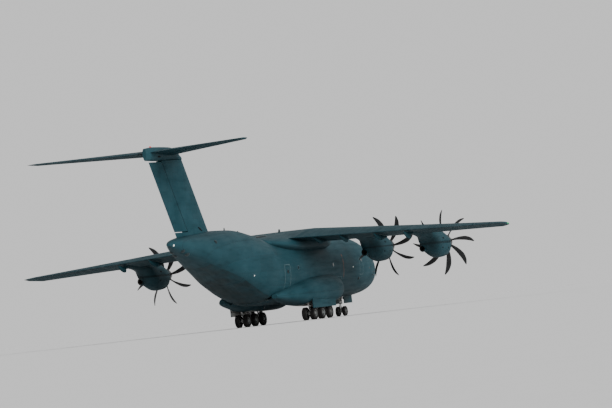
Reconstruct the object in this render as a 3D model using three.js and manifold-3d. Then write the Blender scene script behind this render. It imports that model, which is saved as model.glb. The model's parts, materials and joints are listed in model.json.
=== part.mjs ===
// Four-engined military transport plane with a high wing, a T-tail and a rear loading ramp,
// standing on its landing gear. It is a half-size model, because the full-size aircraft is
// over 40 m long.
//
// Every size and place below is in metres of the full-size aircraft: s is the station aft of
// the nose tip, y is to port and z is up from the ground. The model's own frame is in
// millimetres, +X towards the nose, +Y to port and +Z up, with its origin on the ground
// midway between the nose tip and the tips of the tailplane.

import * as THREE from "three";
import { mergeVertices } from "three/addons/utils/BufferGeometryUtils.js";
import Module from "manifold-3d";

const wasm = await Module();
wasm.setup();

// Driving dimensions
const SCALE = 0.5;
const MM = 1000 * SCALE;
const LENGTH = 45.1;
const HALF_SPAN = 21.18;
const WALL = 0.12;
const FIT = 0.0016;
const SEAM = 0.012;
const RUNNING_GAP = 0.022;
const RING_SIDES = 24;
const HOLD_SIDES = 16;

const FLOOR_TOP = 2.35;
const FLOOR_THICK = 0.22;
const RAMP_HINGE_S = 24.95;
const RAMP_HALF_WIDTH = 1.9;
const RAMP_END_S = 30.2;
const RAMP_FLOOR_END = { s: 29.85, z: 3.95 };
const RAMP_LIP_RADIUS = 0.45;
const DOOR_END_S = 34.8;
const DOOR_END_HALF_WIDTH = 1.12;
const DOOR_TOP = 5.6;
const NOSE_JOINT_S = 8.2;
const TAIL_JOINT_S = 24.9;
const CONE_END_S = 40.25;

const PROP_RADIUS = 2.665;
const BLADES = 8;
const ENGINES = [
  // y and z of the shaft, station of the blades, the way the blades curve and their turn
  { number: 1, y: 12.62, z: 5.09, s: 12.2, hand: -1, turn: 39 },
  { number: 2, y: 6.9, z: 5.35, s: 10.5, hand: 1, turn: 34 },
  { number: 3, y: -6.9, z: 5.35, s: 10.5, hand: -1, turn: 42 },
  { number: 4, y: -12.62, z: 5.09, s: 12.2, hand: 1, turn: 33 },
];

const MAIN_WHEEL_RADIUS = 0.545;
const NOSE_WHEEL_RADIUS = 0.42;
const MAIN_GEAR_Y = 2.97;
const MAIN_GEAR_S = [16.2, 17.9, 19.6];
const NOSE_GEAR_S = 4.9;
const WHEEL_SIDES = 16;

// Fuselage sections: station, crown, keel, half width, height of the widest point, and the
// squareness of the lower half (2 is an ellipse)
const FUSELAGE = [
  { s: 0.0, top: 3.43, bottom: 3.29, half: 0.06, mid: 3.36, square: 2 },
  { s: 0.1, top: 3.88, bottom: 2.84, half: 0.6, mid: 3.36, square: 2 },
  { s: 0.45, top: 4.34, bottom: 2.41, half: 1.2, mid: 3.39, square: 2 },
  { s: 1.0, top: 4.77, bottom: 2.08, half: 1.77, mid: 3.45, square: 2.1 },
  { s: 1.8, top: 5.26, bottom: 1.86, half: 2.26, mid: 3.66, square: 2.2 },
  { s: 2.9, top: 6.06, bottom: 1.72, half: 2.61, mid: 3.95, square: 2.3 },
  { s: 4.2, top: 6.58, bottom: 1.63, half: 2.77, mid: 4.13, square: 2.3 },
  { s: 5.8, top: 6.83, bottom: 1.6, half: 2.82, mid: 4.24, square: 2.4 },
  { s: 8.2, top: 6.94, bottom: 1.59, half: 2.82, mid: 4.29, square: 2.4 },
  { s: 23.4, top: 7.13, bottom: 1.61, half: 2.82, mid: 4.39, square: 2.6 },
  { s: 26.0, top: 7.56, bottom: 2.15, half: 2.81, mid: 4.82, square: 3 },
  { s: 29.0, top: 7.93, bottom: 3.14, half: 2.67, mid: 5.45, square: 3.1 },
  { s: 32.0, top: 7.96, bottom: 4.16, half: 2.26, mid: 6.01, square: 2.7 },
  { s: 35.0, top: 7.83, bottom: 5.17, half: 1.73, mid: 6.47, square: 2.3 },
  { s: 38.0, top: 7.64, bottom: 6.18, half: 0.97, mid: 6.92, square: 2.1 },
  { s: 39.6, top: 7.43, bottom: 6.76, half: 0.44, mid: 7.1, square: 2 },
  { s: 40.25, top: 7.2, bottom: 7.0, half: 0.12, mid: 7.1, square: 2 },
];

// Fairing over the wing's centre section
const WING_FAIRING = [
  { s: 11.4, top: 6.98, bottom: 6.7, half: 0.35, mid: 6.84, square: 2 },
  { s: 12.1, top: 7.15, bottom: 5.9, half: 2.3, mid: 6.45, square: 2.3 },
  { s: 12.9, top: 7.28, bottom: 5.62, half: 2.87, mid: 6.3, square: 2.8 },
  { s: 13.9, top: 7.36, bottom: 5.6, half: 2.92, mid: 6.3, square: 3 },
  { s: 16.0, top: 7.42, bottom: 5.55, half: 2.92, mid: 6.35, square: 3 },
  { s: 19.5, top: 7.26, bottom: 5.6, half: 2.92, mid: 6.35, square: 3 },
  { s: 21.3, top: 7.15, bottom: 5.75, half: 2.85, mid: 6.35, square: 2.6 },
  { s: 23.4, top: 7.1, bottom: 6.1, half: 2.2, mid: 6.5, square: 2.2 },
  { s: 25.2, top: 7.1, bottom: 6.5, half: 0.9, mid: 6.8, square: 2 },
];

// Port landing gear fairing: the same columns, with the middle of each section
const SPONSON = [
  { s: 11.9, top: 2.9, bottom: 2.1, half: 0.35, mid: 2.5, y: 2.6, square: 2 },
  { s: 12.4, top: 3.3, bottom: 1.72, half: 0.95, mid: 2.4, y: 2.4, square: 2.2 },
  { s: 13.5, top: 3.6, bottom: 1.34, half: 1.4, mid: 2.35, y: 2.33, square: 2.5 },
  { s: 15.2, top: 3.62, bottom: 1.16, half: 1.57, mid: 2.25, y: 2.3, square: 2.8 },
  { s: 18.0, top: 3.5, bottom: 1.17, half: 1.55, mid: 2.2, y: 2.3, square: 2.7 },
  { s: 20.8, top: 3.15, bottom: 1.32, half: 1.42, mid: 2.15, y: 2.3, square: 2.5 },
  { s: 22.6, top: 2.88, bottom: 1.55, half: 1.05, mid: 2.12, y: 2.3, square: 2.2 },
  { s: 24.4, top: 2.6, bottom: 1.84, half: 0.6, mid: 2.15, y: 2.3, square: 2 },
  { s: 25.2, top: 2.4, bottom: 2.05, half: 0.25, mid: 2.2, y: 2.3, square: 2 },
];

// Engine housing: distance behind the blades, heights from the shaft, half width, and how
// much of the wing's height above the inner engine's it takes up
const NACELLE = [
  { s: 0.36, top: 0.57, bottom: -0.88, half: 0.6, mid: -0.05, rise: 0, square: 2 },
  { s: 0.62, top: 0.68, bottom: -1.02, half: 0.72, mid: -0.1, rise: 0, square: 2.2 },
  { s: 1.15, top: 0.88, bottom: -1.15, half: 0.86, mid: -0.15, rise: 0, square: 2.3 },
  { s: 2.15, top: 1.2, bottom: -1.2, half: 0.93, mid: -0.1, rise: 0.1, square: 2.3 },
  { s: 3.15, top: 1.42, bottom: -0.91, half: 0.91, mid: 0.05, rise: 0.5, square: 2.3 },
  { s: 3.95, top: 1.5, bottom: -0.31, half: 0.84, mid: 0.45, rise: 0.9, square: 2.2 },
  { s: 4.55, top: 1.5, bottom: 0.27, half: 0.72, mid: 0.85, rise: 1, square: 2.1 },
  { s: 5.9, top: 1.42, bottom: 0.68, half: 0.5, mid: 1.05, rise: 1, square: 2 },
  { s: 7.8, top: 1.3, bottom: 0.95, half: 0.25, mid: 1.15, rise: 1, square: 2 },
];
const NACELLE_SIDES = 16;

// Fairing on the fin's top, round the middle of the tailplane
const TAIL_FAIRING = [
  { s: 35.85, top: 13.86, bottom: 13.68, half: 0.1, mid: 13.77, square: 2 },
  { s: 36.4, top: 14.2, bottom: 13.67, half: 0.24, mid: 13.9, square: 2 },
  { s: 37.1, top: 14.56, bottom: 13.66, half: 0.36, mid: 14.1, square: 2 },
  { s: 38.2, top: 14.76, bottom: 13.67, half: 0.42, mid: 14.22, square: 2.2 },
  { s: 41.3, top: 14.8, bottom: 13.7, half: 0.42, mid: 14.32, square: 2.2 },
  { s: 42.9, top: 14.7, bottom: 13.86, half: 0.15, mid: 14.3, square: 2 },
];

// Lifting surfaces: distance out from the root end, leading edge, chord, height of the leading
// edge, how much higher the trailing edge is, and thickness and camber as shares of the chord
const WING = [
  { out: 0, lead: 12.9, chord: 8.0, z: 6.8, rise: 0, thick: 0.14, camber: 0.02 },
  { out: 2.95, lead: 13.75, chord: 7.3, z: 6.76, rise: 0.03, thick: 0.155, camber: 0.02 },
  { out: 12.8, lead: 16.9, chord: 4.75, z: 6.2, rise: 0.14, thick: 0.15, camber: 0.02 },
  { out: 20.4, lead: 19.29, chord: 2.8, z: 5.82, rise: 0.2, thick: 0.13, camber: 0.02 },
  { out: HALF_SPAN, lead: 20.45, chord: 1.3, z: 5.86, rise: 0.12, thick: 0.09, camber: 0.02 },
];
const TAILPLANE = [
  { out: -8.75, lead: 43.1, chord: 1.96, z: 14.48, rise: 0, thick: 0.09, camber: 0 },
  { out: -0.4, lead: 37.0, chord: 5.3, z: 14.36, rise: 0, thick: 0.1, camber: 0 },
  { out: 0.4, lead: 37.0, chord: 5.3, z: 14.36, rise: 0, thick: 0.1, camber: 0 },
  { out: 8.75, lead: 43.1, chord: 1.96, z: 14.48, rise: 0, thick: 0.09, camber: 0 },
];
const FIN = [
  { z: 6.9, lead: 31.5, chord: 6.45, rise: 0, thick: 0.12, camber: 0 },
  { z: 13.7, lead: 35.85, chord: 6.45, rise: 0, thick: 0.11, camber: 0 },
];
const TAILPLANE_HALF_SPAN = 9.02;

// Shares of the chord along the upper side of a wing section, from the trailing edge
const AEROFOIL_STEPS = [1, 0.8, 0.55, 0.3, 0.12, 0.03];

// Materials
const paint = (hex, roughness = 0.55) =>
  new THREE.MeshStandardMaterial({ color: hex, roughness, metalness: 0.1 });
const LOOKS = {
  skin: paint(0x3d5458),
  belly: paint(0x344548),
  panel: paint(0x48595c),
  inside: paint(0x8a8f86, 0.7),
  engine: paint(0x5a5d5e, 0.5),
  strut: paint(0xb9bcb8, 0.35),
  blade: paint(0x17191b, 0.4),
  tyre: paint(0x1b1b1c, 0.9),
  glass: new THREE.MeshStandardMaterial({ color: 0x1a2326, roughness: 0.05, metalness: 0 }),
};

const root = new THREE.Group();

// A point of the model's frame, from a station and full-size places
const place = (s, y, z) => new THREE.Vector3((LENGTH / 2 - s) * MM, y * MM, z * MM);

function signedVolume(points, faces) {
  let sum = 0;
  const at = (i) => new THREE.Vector3().fromArray(points, i * 3);
  for (let i = 0; i < faces.length; i += 3) {
    sum += at(faces[i]).dot(at(faces[i + 1]).cross(at(faces[i + 2])));
  }
  return sum / 6;
}

// The points of a geometry with close ones merged, and its faces without those that vanish
function mergedFaces(geometry, tolerance) {
  const bare = new THREE.BufferGeometry();
  bare.setAttribute("position", geometry.getAttribute("position").clone());
  bare.setIndex(geometry.index);
  const merged = mergeVertices(bare, tolerance);
  const all = merged.index.array;
  const faces = [];
  for (let i = 0; i < all.length; i += 3) {
    const [a, b, c] = [all[i], all[i + 1], all[i + 2]];
    if (a !== b && b !== c && c !== a) faces.push(a, b, c);
  }
  return { points: merged.attributes.position.array, faces };
}

// A closed three.js geometry as a solid that can be joined and cut, with its faces outwards
function solidFrom(geometry) {
  const { points, faces } = mergedFaces(geometry, 1e-3);
  if (signedVolume(points, faces) < 0) faces.reverse();
  const triVerts = new Uint32Array(faces);
  return new wasm.Manifold(new wasm.Mesh({ numProp: 3, vertProperties: points, triVerts }));
}

function geometryOf(solid) {
  const mesh = solid.getMesh();
  const corners = new Float32Array(mesh.numVert * 3);
  for (let i = 0; i < mesh.numVert; i += 1) {
    corners.set(mesh.vertProperties.subarray(i * mesh.numProp, i * mesh.numProp + 3), i * 3);
  }
  const raw = new THREE.BufferGeometry();
  raw.setAttribute("position", new THREE.BufferAttribute(corners, 3));
  raw.setIndex(new THREE.BufferAttribute(mesh.triVerts, 1));
  const { points, faces } = mergedFaces(raw, 0.02);
  const geometry = new THREE.BufferGeometry();
  geometry.setAttribute("position", new THREE.BufferAttribute(points, 3));
  geometry.setIndex(faces);
  const flat = geometry.toNonIndexed();
  flat.computeVertexNormals();
  return flat;
}

function addPiece(name, solid, look, at = new THREE.Vector3(), parent = root) {
  const mesh = new THREE.Mesh(geometryOf(solid), look);
  mesh.name = name;
  mesh.position.copy(at);
  parent.add(mesh);
  return mesh;
}

// The same solid on the other side of the aircraft
const mirrored = (solid) => solidFrom(geometryOf(solid).scale(1, -1, 1));

const joined = (...solids) => solids.reduce((whole, next) => whole.add(next));

// A solid through rings of points, closed by flat ends
function loft(rings) {
  const sides = rings[0].length;
  const points = [];
  const face = (...corners) => corners.forEach((p) => points.push(p.x, p.y, p.z));
  for (let i = 1; i < rings.length; i += 1) {
    for (let k = 0; k < sides; k += 1) {
      const next = (k + 1) % sides;
      const [a, b] = [rings[i - 1][k], rings[i - 1][next]];
      const [c, d] = [rings[i][k], rings[i][next]];
      // The shorter diagonal, so that the two sides of a symmetric body match
      if (a.distanceTo(d) < b.distanceTo(c)) {
        face(a, b, d);
        face(a, d, c);
      } else {
        face(a, b, c);
        face(b, d, c);
      }
    }
  }
  for (let k = 2; k < sides; k += 1) {
    const [first, last] = [rings[0], rings[rings.length - 1]];
    face(first[0], first[k], first[k - 1]);
    face(last[0], last[k - 1], last[k]);
  }
  const geometry = new THREE.BufferGeometry();
  geometry.setAttribute("position", new THREE.Float32BufferAttribute(points, 3));
  return solidFrom(geometry);
}

// A table's row at any station, by straight lines between its rows
function rowAt(table, s) {
  const after = Math.max(1, table.findIndex((row) => row.s >= s));
  const [low, high] = [table[after - 1], table[after]];
  const share = (s - low.s) / (high.s - low.s);
  const row = {};
  for (const key of Object.keys(low)) row[key] = low[key] + (high[key] - low[key]) * share;
  return row;
}

// The point of a section at an angle, where 0 is the port side and a quarter turn is the crown
function sectionPoint(row, angle, grow = 0) {
  const [across, up] = [Math.cos(angle), Math.sin(angle)];
  const power = up < 0 ? 2 / row.square : 1;
  const height = up < 0 ? row.mid - row.bottom + grow : row.top - row.mid + grow;
  const y = Math.sign(across) * Math.abs(across) ** power * (row.half + grow);
  const z = row.mid + Math.sign(up) * Math.abs(up) ** power * height;
  return place(row.s, (row.y ?? 0) + y, z);
}

function ringOf(row, grow, sides) {
  const turn = (2 * Math.PI) / sides;
  return Array.from({ length: sides }, (_, k) => sectionPoint(row, k * turn, grow));
}

// The stretch of a body between two stations, made thicker all round by grow
function body(table, from, to, grow = 0, sides = RING_SIDES) {
  const inside = table.filter((row) => row.s > from + 0.05 && row.s < to - 0.05);
  const rows = [rowAt(table, from), ...inside, rowAt(table, to)];
  return loft(rows.map((row) => ringOf(row, grow, sides)));
}

function box(s0, s1, y0, y1, z0, z1) {
  const [low, high] = [place(s1, y0, z0), place(s0, y1, z1)];
  const size = high.clone().sub(low);
  const middle = low.clone().add(high).multiplyScalar(0.5);
  const made = new THREE.BoxGeometry(size.x, size.y, size.z);
  return solidFrom(made.translate(middle.x, middle.y, middle.z));
}

// A round bar between two points, with a radius at each
function bar(from, to, radius, sides = 8, endRadius = radius) {
  const along = to.clone().sub(from);
  const made = new THREE.CylinderGeometry(endRadius * MM, radius * MM, along.length(), sides);
  const turn = new THREE.Quaternion().setFromUnitVectors(
    new THREE.Vector3(0, 1, 0),
    along.clone().normalize(),
  );
  const middle = from.clone().add(to).multiplyScalar(0.5);
  made.rotateY(Math.PI / sides);
  made.applyQuaternion(turn);
  return solidFrom(made.translate(middle.x, middle.y, middle.z));
}

// A prism of a side view outline, given as [s, z] points, from y0 to y1
function sidePrism(outline, y0, y1) {
  const rings = [y0, y1].map((y) => outline.map(([s, z]) => place(s, y, z)));
  return loft(rings);
}

// A wing section's outline: shares of the chord aft and up, round from the trailing edge
function aerofoil(thick, camber, grow) {
  const side = (sign) =>
    AEROFOIL_STEPS.map((x) => {
      const curve = 0.2969 * Math.sqrt(x) - 0.126 * x - 0.3516 * x ** 2;
      const half = 5 * thick * (curve + 0.2843 * x ** 3 - 0.1 * x ** 4) + grow;
      return [x + (x === 1 ? grow : 0), sign * half + camber * 4 * x * (1 - x)];
    });
  const lower = side(-1).reverse();
  return [...side(1), [-grow, 0], ...lower];
}

function surfaceRing(row, grow, toPoint) {
  const share = grow / row.chord;
  return aerofoil(row.thick, row.camber, share).map(([aft, up]) =>
    toPoint(row.lead + aft * row.chord, up * row.chord + aft * row.rise, row),
  );
}

const wingSolid = (grow = 0, inner = 0, outer = HALF_SPAN) => {
  const rows = spanRows(WING, inner, outer);
  const toPoint = (s, up, row) => place(s, row.out, row.z + up);
  return loft(rows.map((row) => surfaceRing(row, grow, toPoint)));
};

function spanRows(table, inner, outer) {
  const at = (out) => {
    const after = Math.max(1, table.findIndex((row) => row.out >= out));
    const [low, high] = [table[after - 1], table[after]];
    const share = (out - low.out) / (high.out - low.out);
    const row = {};
    for (const key of Object.keys(low)) row[key] = low[key] + (high[key] - low[key]) * share;
    return row;
  };
  const inside = table.filter((row) => row.out > inner + 0.05 && row.out < outer - 0.05);
  return [at(inner), ...inside, at(outer)];
}

// A frame along a hinge line: u runs from one end to the other, v aft and w up
function hingeFrame(from, to, up = new THREE.Vector3(0, 0, 1)) {
  const u = to.clone().sub(from).normalize();
  const v = new THREE.Vector3(-1, 0, 0);
  v.addScaledVector(u, -v.dot(u)).normalize();
  const w = new THREE.Vector3().crossVectors(u, v).normalize();
  if (w.dot(up) < 0) w.negate();
  return { u, v, w, from: from.clone(), length: to.distanceTo(from) };
}

// A block in a hinge's frame, from low to high along u, v and w in millimetres
function frameBlock(frame, low, high) {
  const corner = (i) => {
    const [a, b, c] = [i & 1 ? high[0] : low[0], i & 2 ? high[1] : low[1], i & 4 ? high[2] : low[2]];
    return frame.from.clone().addScaledVector(frame.u, a).addScaledVector(frame.v, b)
      .addScaledVector(frame.w, c);
  };
  return loft([[0, 1, 3, 2].map(corner), [4, 5, 7, 6].map(corner)]);
}

// A surface on a hinge in its own nose: the nose is round, and what carries it is cut clear.
// Its ends are square to the hinge, or where the given spaces end
function hingedSurface(whole, from, to, noseFrom, noseTo, spaces) {
  const frame = hingeFrame(from, to, spaces?.up);
  const gap = SEAM * MM;
  const far = 4 * MM;
  const deep = 2 * MM;
  const over = spaces ? 2 * MM : 0;
  const [low, high] = [-over, frame.length + over];
  const along = (u) => from.clone().addScaledVector(frame.u, u);
  const noseAt = (u) => noseFrom + ((noseTo - noseFrom) * u) / frame.length;
  const side = bar(along(low), along(high), noseAt(low), 16, noseAt(high));
  const aft = frameBlock(frame, [low, 0, -deep], [high, far, deep]);
  const clear = bar(
    along(low - gap),
    along(high + gap),
    noseAt(low - gap) + 1.6 * SEAM,
    16,
    noseAt(high + gap) + 1.6 * SEAM,
  );
  const cut = frameBlock(frame, [low - gap, 0, -deep], [high + gap, far, deep]);
  let surface = whole.intersect(joined(side, aft));
  let removed = joined(clear, cut);
  if (spaces) {
    surface = surface.intersect(spaces.surface);
    removed = removed.intersect(spaces.removed);
  }
  return { surface, cut: removed };
}

// Fuselage, with its cockpit windows, doors, gear bay and ramp opening
const FUSELAGE_END = 36.2;
const hull = body(FUSELAGE, 0, CONE_END_S);
const hullGrown = body(FUSELAGE, 0, CONE_END_S, FIT);
const hold = body(FUSELAGE, 0.95, FUSELAGE_END, -WALL, HOLD_SIDES);

// Cockpit panes of the port side: station and angle round the section of each corner
const PANES = [
  [[1.95, 87], [2.74, 87.5], [2.98, 62], [2.12, 55]],
  [[2.16, 52], [3.05, 59], [3.5, 43], [2.72, 29]],
  [[2.84, 27], [3.6, 41], [4.3, 39], [3.95, 24]],
];
const DEGREE = Math.PI / 180;

function paneCutter(corners, shrink, inner, outer) {
  const onHull = corners.map(([s, angle]) => sectionPoint(rowAt(FUSELAGE, s), angle * DEGREE));
  const middle = onHull.reduce((sum, p) => sum.add(p), new THREE.Vector3()).multiplyScalar(0.25);
  const across = onHull[2].clone().sub(onHull[0]);
  const normal = across.cross(onHull[3].clone().sub(onHull[1])).normalize();
  if (normal.y < 0) normal.negate();
  const ring = (depth) =>
    onHull.map((p) => {
      const inwards = middle.clone().sub(p).normalize();
      return p.clone().addScaledVector(inwards, shrink * MM).addScaledVector(normal, depth * MM);
    });
  return loft([ring(-inner), ring(outer)]);
}

const paneCuts = PANES.map((corners) => paneCutter(corners, 0, 0.5, 0.4));
const panePlugs = PANES.map((corners) => paneCutter(corners, SEAM * 0.8, 0.22, 0.4));

// Crew door on the port side, hinged along its sill
const CREW_DOOR = { s0: 5.75, s1: 6.75, z0: 2.36, z1: 4.3 };
// Troop doors behind the landing gear, one each side
const TROOP_DOOR = { s0: 22.45, s1: 23.5, z0: 2.5, z1: 4.6 };

const opening = ({ s0, s1, z0, z1 }, grow, y0, y1) =>
  box(s0 - grow, s1 + grow, y0, y1, z0 - grow, z1 + grow);

const crewOpening = opening(CREW_DOOR, SEAM, 1, 3);
const troopOpening = opening(TROOP_DOOR, SEAM, 1, 3);

const NOSE_BAY = { s0: 3.7, s1: 5.6, half: 0.62 };
const noseBay = box(NOSE_BAY.s0, NOSE_BAY.s1, -NOSE_BAY.half, NOSE_BAY.half, 1, 1.95);

let noseShell = hull.intersect(box(-1, NOSE_JOINT_S, -4, 4, 0, 9)).subtract(hold);
for (const cut of paneCuts) noseShell = noseShell.subtract(cut).subtract(mirrored(cut));
noseShell = noseShell.subtract(crewOpening).subtract(noseBay);
addPiece("nose_fuselage", noseShell, LOOKS.skin);

const aroundRampHinge = (radius, halfWidth) =>
  bar(
    place(RAMP_HINGE_S, -halfWidth, FLOOR_TOP),
    place(RAMP_HINGE_S, halfWidth, FLOOR_TOP),
    radius,
    32,
  );
let centreShell = hull.intersect(box(NOSE_JOINT_S + FIT, TAIL_JOINT_S, -4, 4, 0, 9));
centreShell = centreShell.subtract(hold);
centreShell = centreShell.subtract(
  aroundRampHinge(RAMP_LIP_RADIUS + 0.02, RAMP_HALF_WIDTH + SEAM)
    .intersect(box(RAMP_HINGE_S - 1, RAMP_HINGE_S, -3, 3, 1, FLOOR_TOP - 0.2)),
);
centreShell = centreShell.subtract(troopOpening).subtract(mirrored(troopOpening));
addPiece("centre_fuselage", centreShell, LOOKS.skin);

// What lies between two side view outlines' ends: a block whose width tapers towards the tail
function taperedBlock(front, back, z0, z1) {
  const ring = ({ s, half }) =>
    [[-half, z0], [half, z0], [half, z1], [-half, z1]].map(([y, z]) => place(s, y, z));
  return loft([ring(front), ring(back)]);
}
const doorWidthAt = (s) => {
  const share = (s - RAMP_END_S) / (DOOR_END_S - RAMP_END_S);
  return RAMP_HALF_WIDTH + (DOOR_END_HALF_WIDTH - RAMP_HALF_WIDTH) * share;
};

const widest = RAMP_HALF_WIDTH + SEAM;
const rearOpening = joined(
  box(TAIL_JOINT_S - 0.2, RAMP_END_S + 0.1, -widest, widest, 0.5, DOOR_TOP + SEAM),
  taperedBlock(
    { s: RAMP_END_S, half: widest },
    { s: DOOR_END_S + SEAM, half: DOOR_END_HALF_WIDTH + SEAM },
    0.5,
    DOOR_TOP + SEAM,
  ),
);
const rearBlock = box(TAIL_JOINT_S + FIT, CONE_END_S + 1, -4, 4, 0, 9);
const rearShell = hull.intersect(rearBlock).subtract(hold).subtract(rearOpening);
addPiece("rear_fuselage", rearShell, LOOKS.skin);

// Doors cut from the same hull
const doorPanel = (door, y0) =>
  hull.subtract(body(FUSELAGE, 0.95, FUSELAGE_END, -WALL * 0.8)).intersect(opening(door, 0, y0, 3));

const STEP_COUNT = 5;
let crewDoor = doorPanel(CREW_DOOR, 1);
for (let i = 0; i < STEP_COUNT; i += 1) {
  const z = CREW_DOOR.z0 + 0.2 + (i * (CREW_DOOR.z1 - CREW_DOOR.z0 - 0.3)) / STEP_COUNT;
  const wall = rowAt(FUSELAGE, 6.2);
  const below = Math.max(0, (wall.mid - z) / (wall.mid - wall.bottom));
  const y = wall.half * (1 - below ** wall.square) ** (1 / wall.square);
  const tread = box(CREW_DOOR.s0 + 0.15, CREW_DOOR.s1 - 0.15, y - 0.36, y - 0.05, z, z + 0.04);
  crewDoor = crewDoor.add(tread.intersect(hull));
}
addPiece("crew_door", crewDoor, LOOKS.panel);

const troopDoor = doorPanel(TROOP_DOOR, 1);
addPiece("troop_door_left", troopDoor, LOOKS.panel);
addPiece("troop_door_right", mirrored(troopDoor), LOOKS.panel);

// Cargo floor, from the nose gear bay back to the ramp's hinge
const holdGrown = body(FUSELAGE, 0.95, FUSELAGE_END, -WALL - FIT, HOLD_SIDES);
const floorSide = [
  [2.6, FLOOR_TOP],
  [RAMP_HINGE_S - 2 * SEAM, FLOOR_TOP],
  [RAMP_HINGE_S - 2 * SEAM, FLOOR_TOP - 0.07],
  [RAMP_HINGE_S - 0.75, FLOOR_TOP - FLOOR_THICK],
  [2.6, FLOOR_TOP - FLOOR_THICK],
];
const cargoFloor = sidePrism(floorSide, -2.6, 2.6).intersect(holdGrown);
addPiece("cargo_floor", cargoFloor, LOOKS.inside);

// Loading ramp: a wedge between the floor's slope and the keel. Its lip reaches forward under
// its hinge, and its aft end slants, so that it and the cargo door clear each other
const rampSide = [
  [RAMP_HINGE_S, FLOOR_TOP],
  [RAMP_FLOOR_END.s, RAMP_FLOOR_END.z],
  [RAMP_END_S, 3.55],
  [RAMP_END_S, 1],
  [RAMP_HINGE_S + 1.05, 1],
];
const rampBlock = sidePrism(rampSide, -RAMP_HALF_WIDTH, RAMP_HALF_WIDTH);
const lipSpace = joined(
  aroundRampHinge(RAMP_LIP_RADIUS, RAMP_HALF_WIDTH),
  box(RAMP_HINGE_S, RAMP_HINGE_S + 0.6, -RAMP_HALF_WIDTH, RAMP_HALF_WIDTH, 1, 3),
).intersect(box(RAMP_HINGE_S - 0.2, RAMP_HINGE_S + 0.6, -2, 2, 1, FLOOR_TOP - 0.3));
const lip = hull.subtract(body(FUSELAGE, 20, 30, -0.09)).intersect(lipSpace);
const ramp = joined(hull.intersect(rampBlock), lip);
addPiece("loading_ramp", ramp, LOOKS.belly);

// Cargo door behind the ramp, hinged inside its aft end
const doorBlock = taperedBlock(
  { s: RAMP_END_S + 0.035, half: doorWidthAt(RAMP_END_S) },
  { s: DOOR_END_S, half: DOOR_END_HALF_WIDTH },
  1,
  DOOR_TOP,
);
const cargoDoor = hull.subtract(body(FUSELAGE, 26, 38, -0.2)).intersect(doorBlock);
addPiece("cargo_door", cargoDoor, LOOKS.belly);

// Cockpit: deck with two seats, and the instrument panel
const DECK_Z = 4.0;
const cockpitSpace = body(FUSELAGE, 0.95, NOSE_JOINT_S, -WALL - 0.05, HOLD_SIDES);
const deckSlab = box(1.7, 5.5, -2.5, 2.5, DECK_Z - 0.1, DECK_Z).intersect(cockpitSpace);
const seat = (y) =>
  joined(
    box(3.05, 3.6, y - 0.27, y + 0.27, DECK_Z - 0.05, DECK_Z + 0.5),
    box(3.5, 3.68, y - 0.27, y + 0.27, DECK_Z + 0.4, DECK_Z + 1.25),
  );
addPiece("cockpit_deck", joined(deckSlab, seat(0.75), seat(-0.75)), LOOKS.inside);
const panelBlock = sidePrism(
  [[1.95, DECK_Z + FIT], [2.3, DECK_Z + FIT], [2.45, DECK_Z + 0.95], [1.9, DECK_Z + 1.05]],
  -1.5,
  1.5,
).intersect(cockpitSpace);
addPiece("instrument_panel", panelBlock, LOOKS.engine);

// Windscreen: the panes, flush in their openings, joined by a strip behind the posts
const glassLayer = body(FUSELAGE, 1.2, 5.4, -WALL - FIT, HOLD_SIDES).subtract(
  body(FUSELAGE, 1.1, 5.5, -WALL - 0.035, HOLD_SIDES),
);
const bandBlock = sidePrism(
  [[1.7, 5.02], [2.7, 4.72], [4.2, 4.86], [4.6, 5.9], [3.2, 6.4], [2.5, 6.4]],
  -2.7,
  2.7,
);
let windscreen = glassLayer.intersect(bandBlock);
for (const plug of panePlugs) {
  const pane = plug.intersect(hull).subtract(body(FUSELAGE, 1.1, 5.5, -WALL - 0.03, HOLD_SIDES));
  windscreen = windscreen.add(pane).add(mirrored(pane));
}
addPiece("windscreen", windscreen, LOOKS.glass);

// Wing: a centre section with its fairing, and two outer wings with flaps and ailerons
const WING_ROOT = 2.95;
const fairing = body(WING_FAIRING, 11.4, 25.2, 0, 16);
const halfCentre = wingSolid(0, 0, WING_ROOT);
const wingCentre = joined(fairing, halfCentre, mirrored(halfCentre)).subtract(hullGrown);
addPiece("wing_centre", wingCentre, LOOKS.skin);

const wingRow = (out) => spanRows(WING, out, HALF_SPAN)[0];
// A point on a surface's middle line, at a share of the chord
const middleOf = (row, share) => ({
  s: row.lead + row.chord * share,
  up: row.camber * 4 * share * (1 - share) * row.chord + share * row.rise,
});
const wingPoint = (out, share) => {
  const row = wingRow(out);
  const { s, up } = middleOf(row, share);
  return place(s, out, row.z + up);
};

const FLAPS = [
  { name: "inner", from: 3.25, to: 8.5, pods: [4.5], podsBehindEngine: [6.9] },
  { name: "outer", from: 8.62, to: 14.6, pods: [9.95], podsBehindEngine: [12.62] },
];
const AILERON = { from: 14.75, to: 20.1, noseFrom: 0.182, noseTo: 0.115 };
const FLAP_SHARE = 0.73;
const AILERON_SHARE = 0.75;

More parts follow.
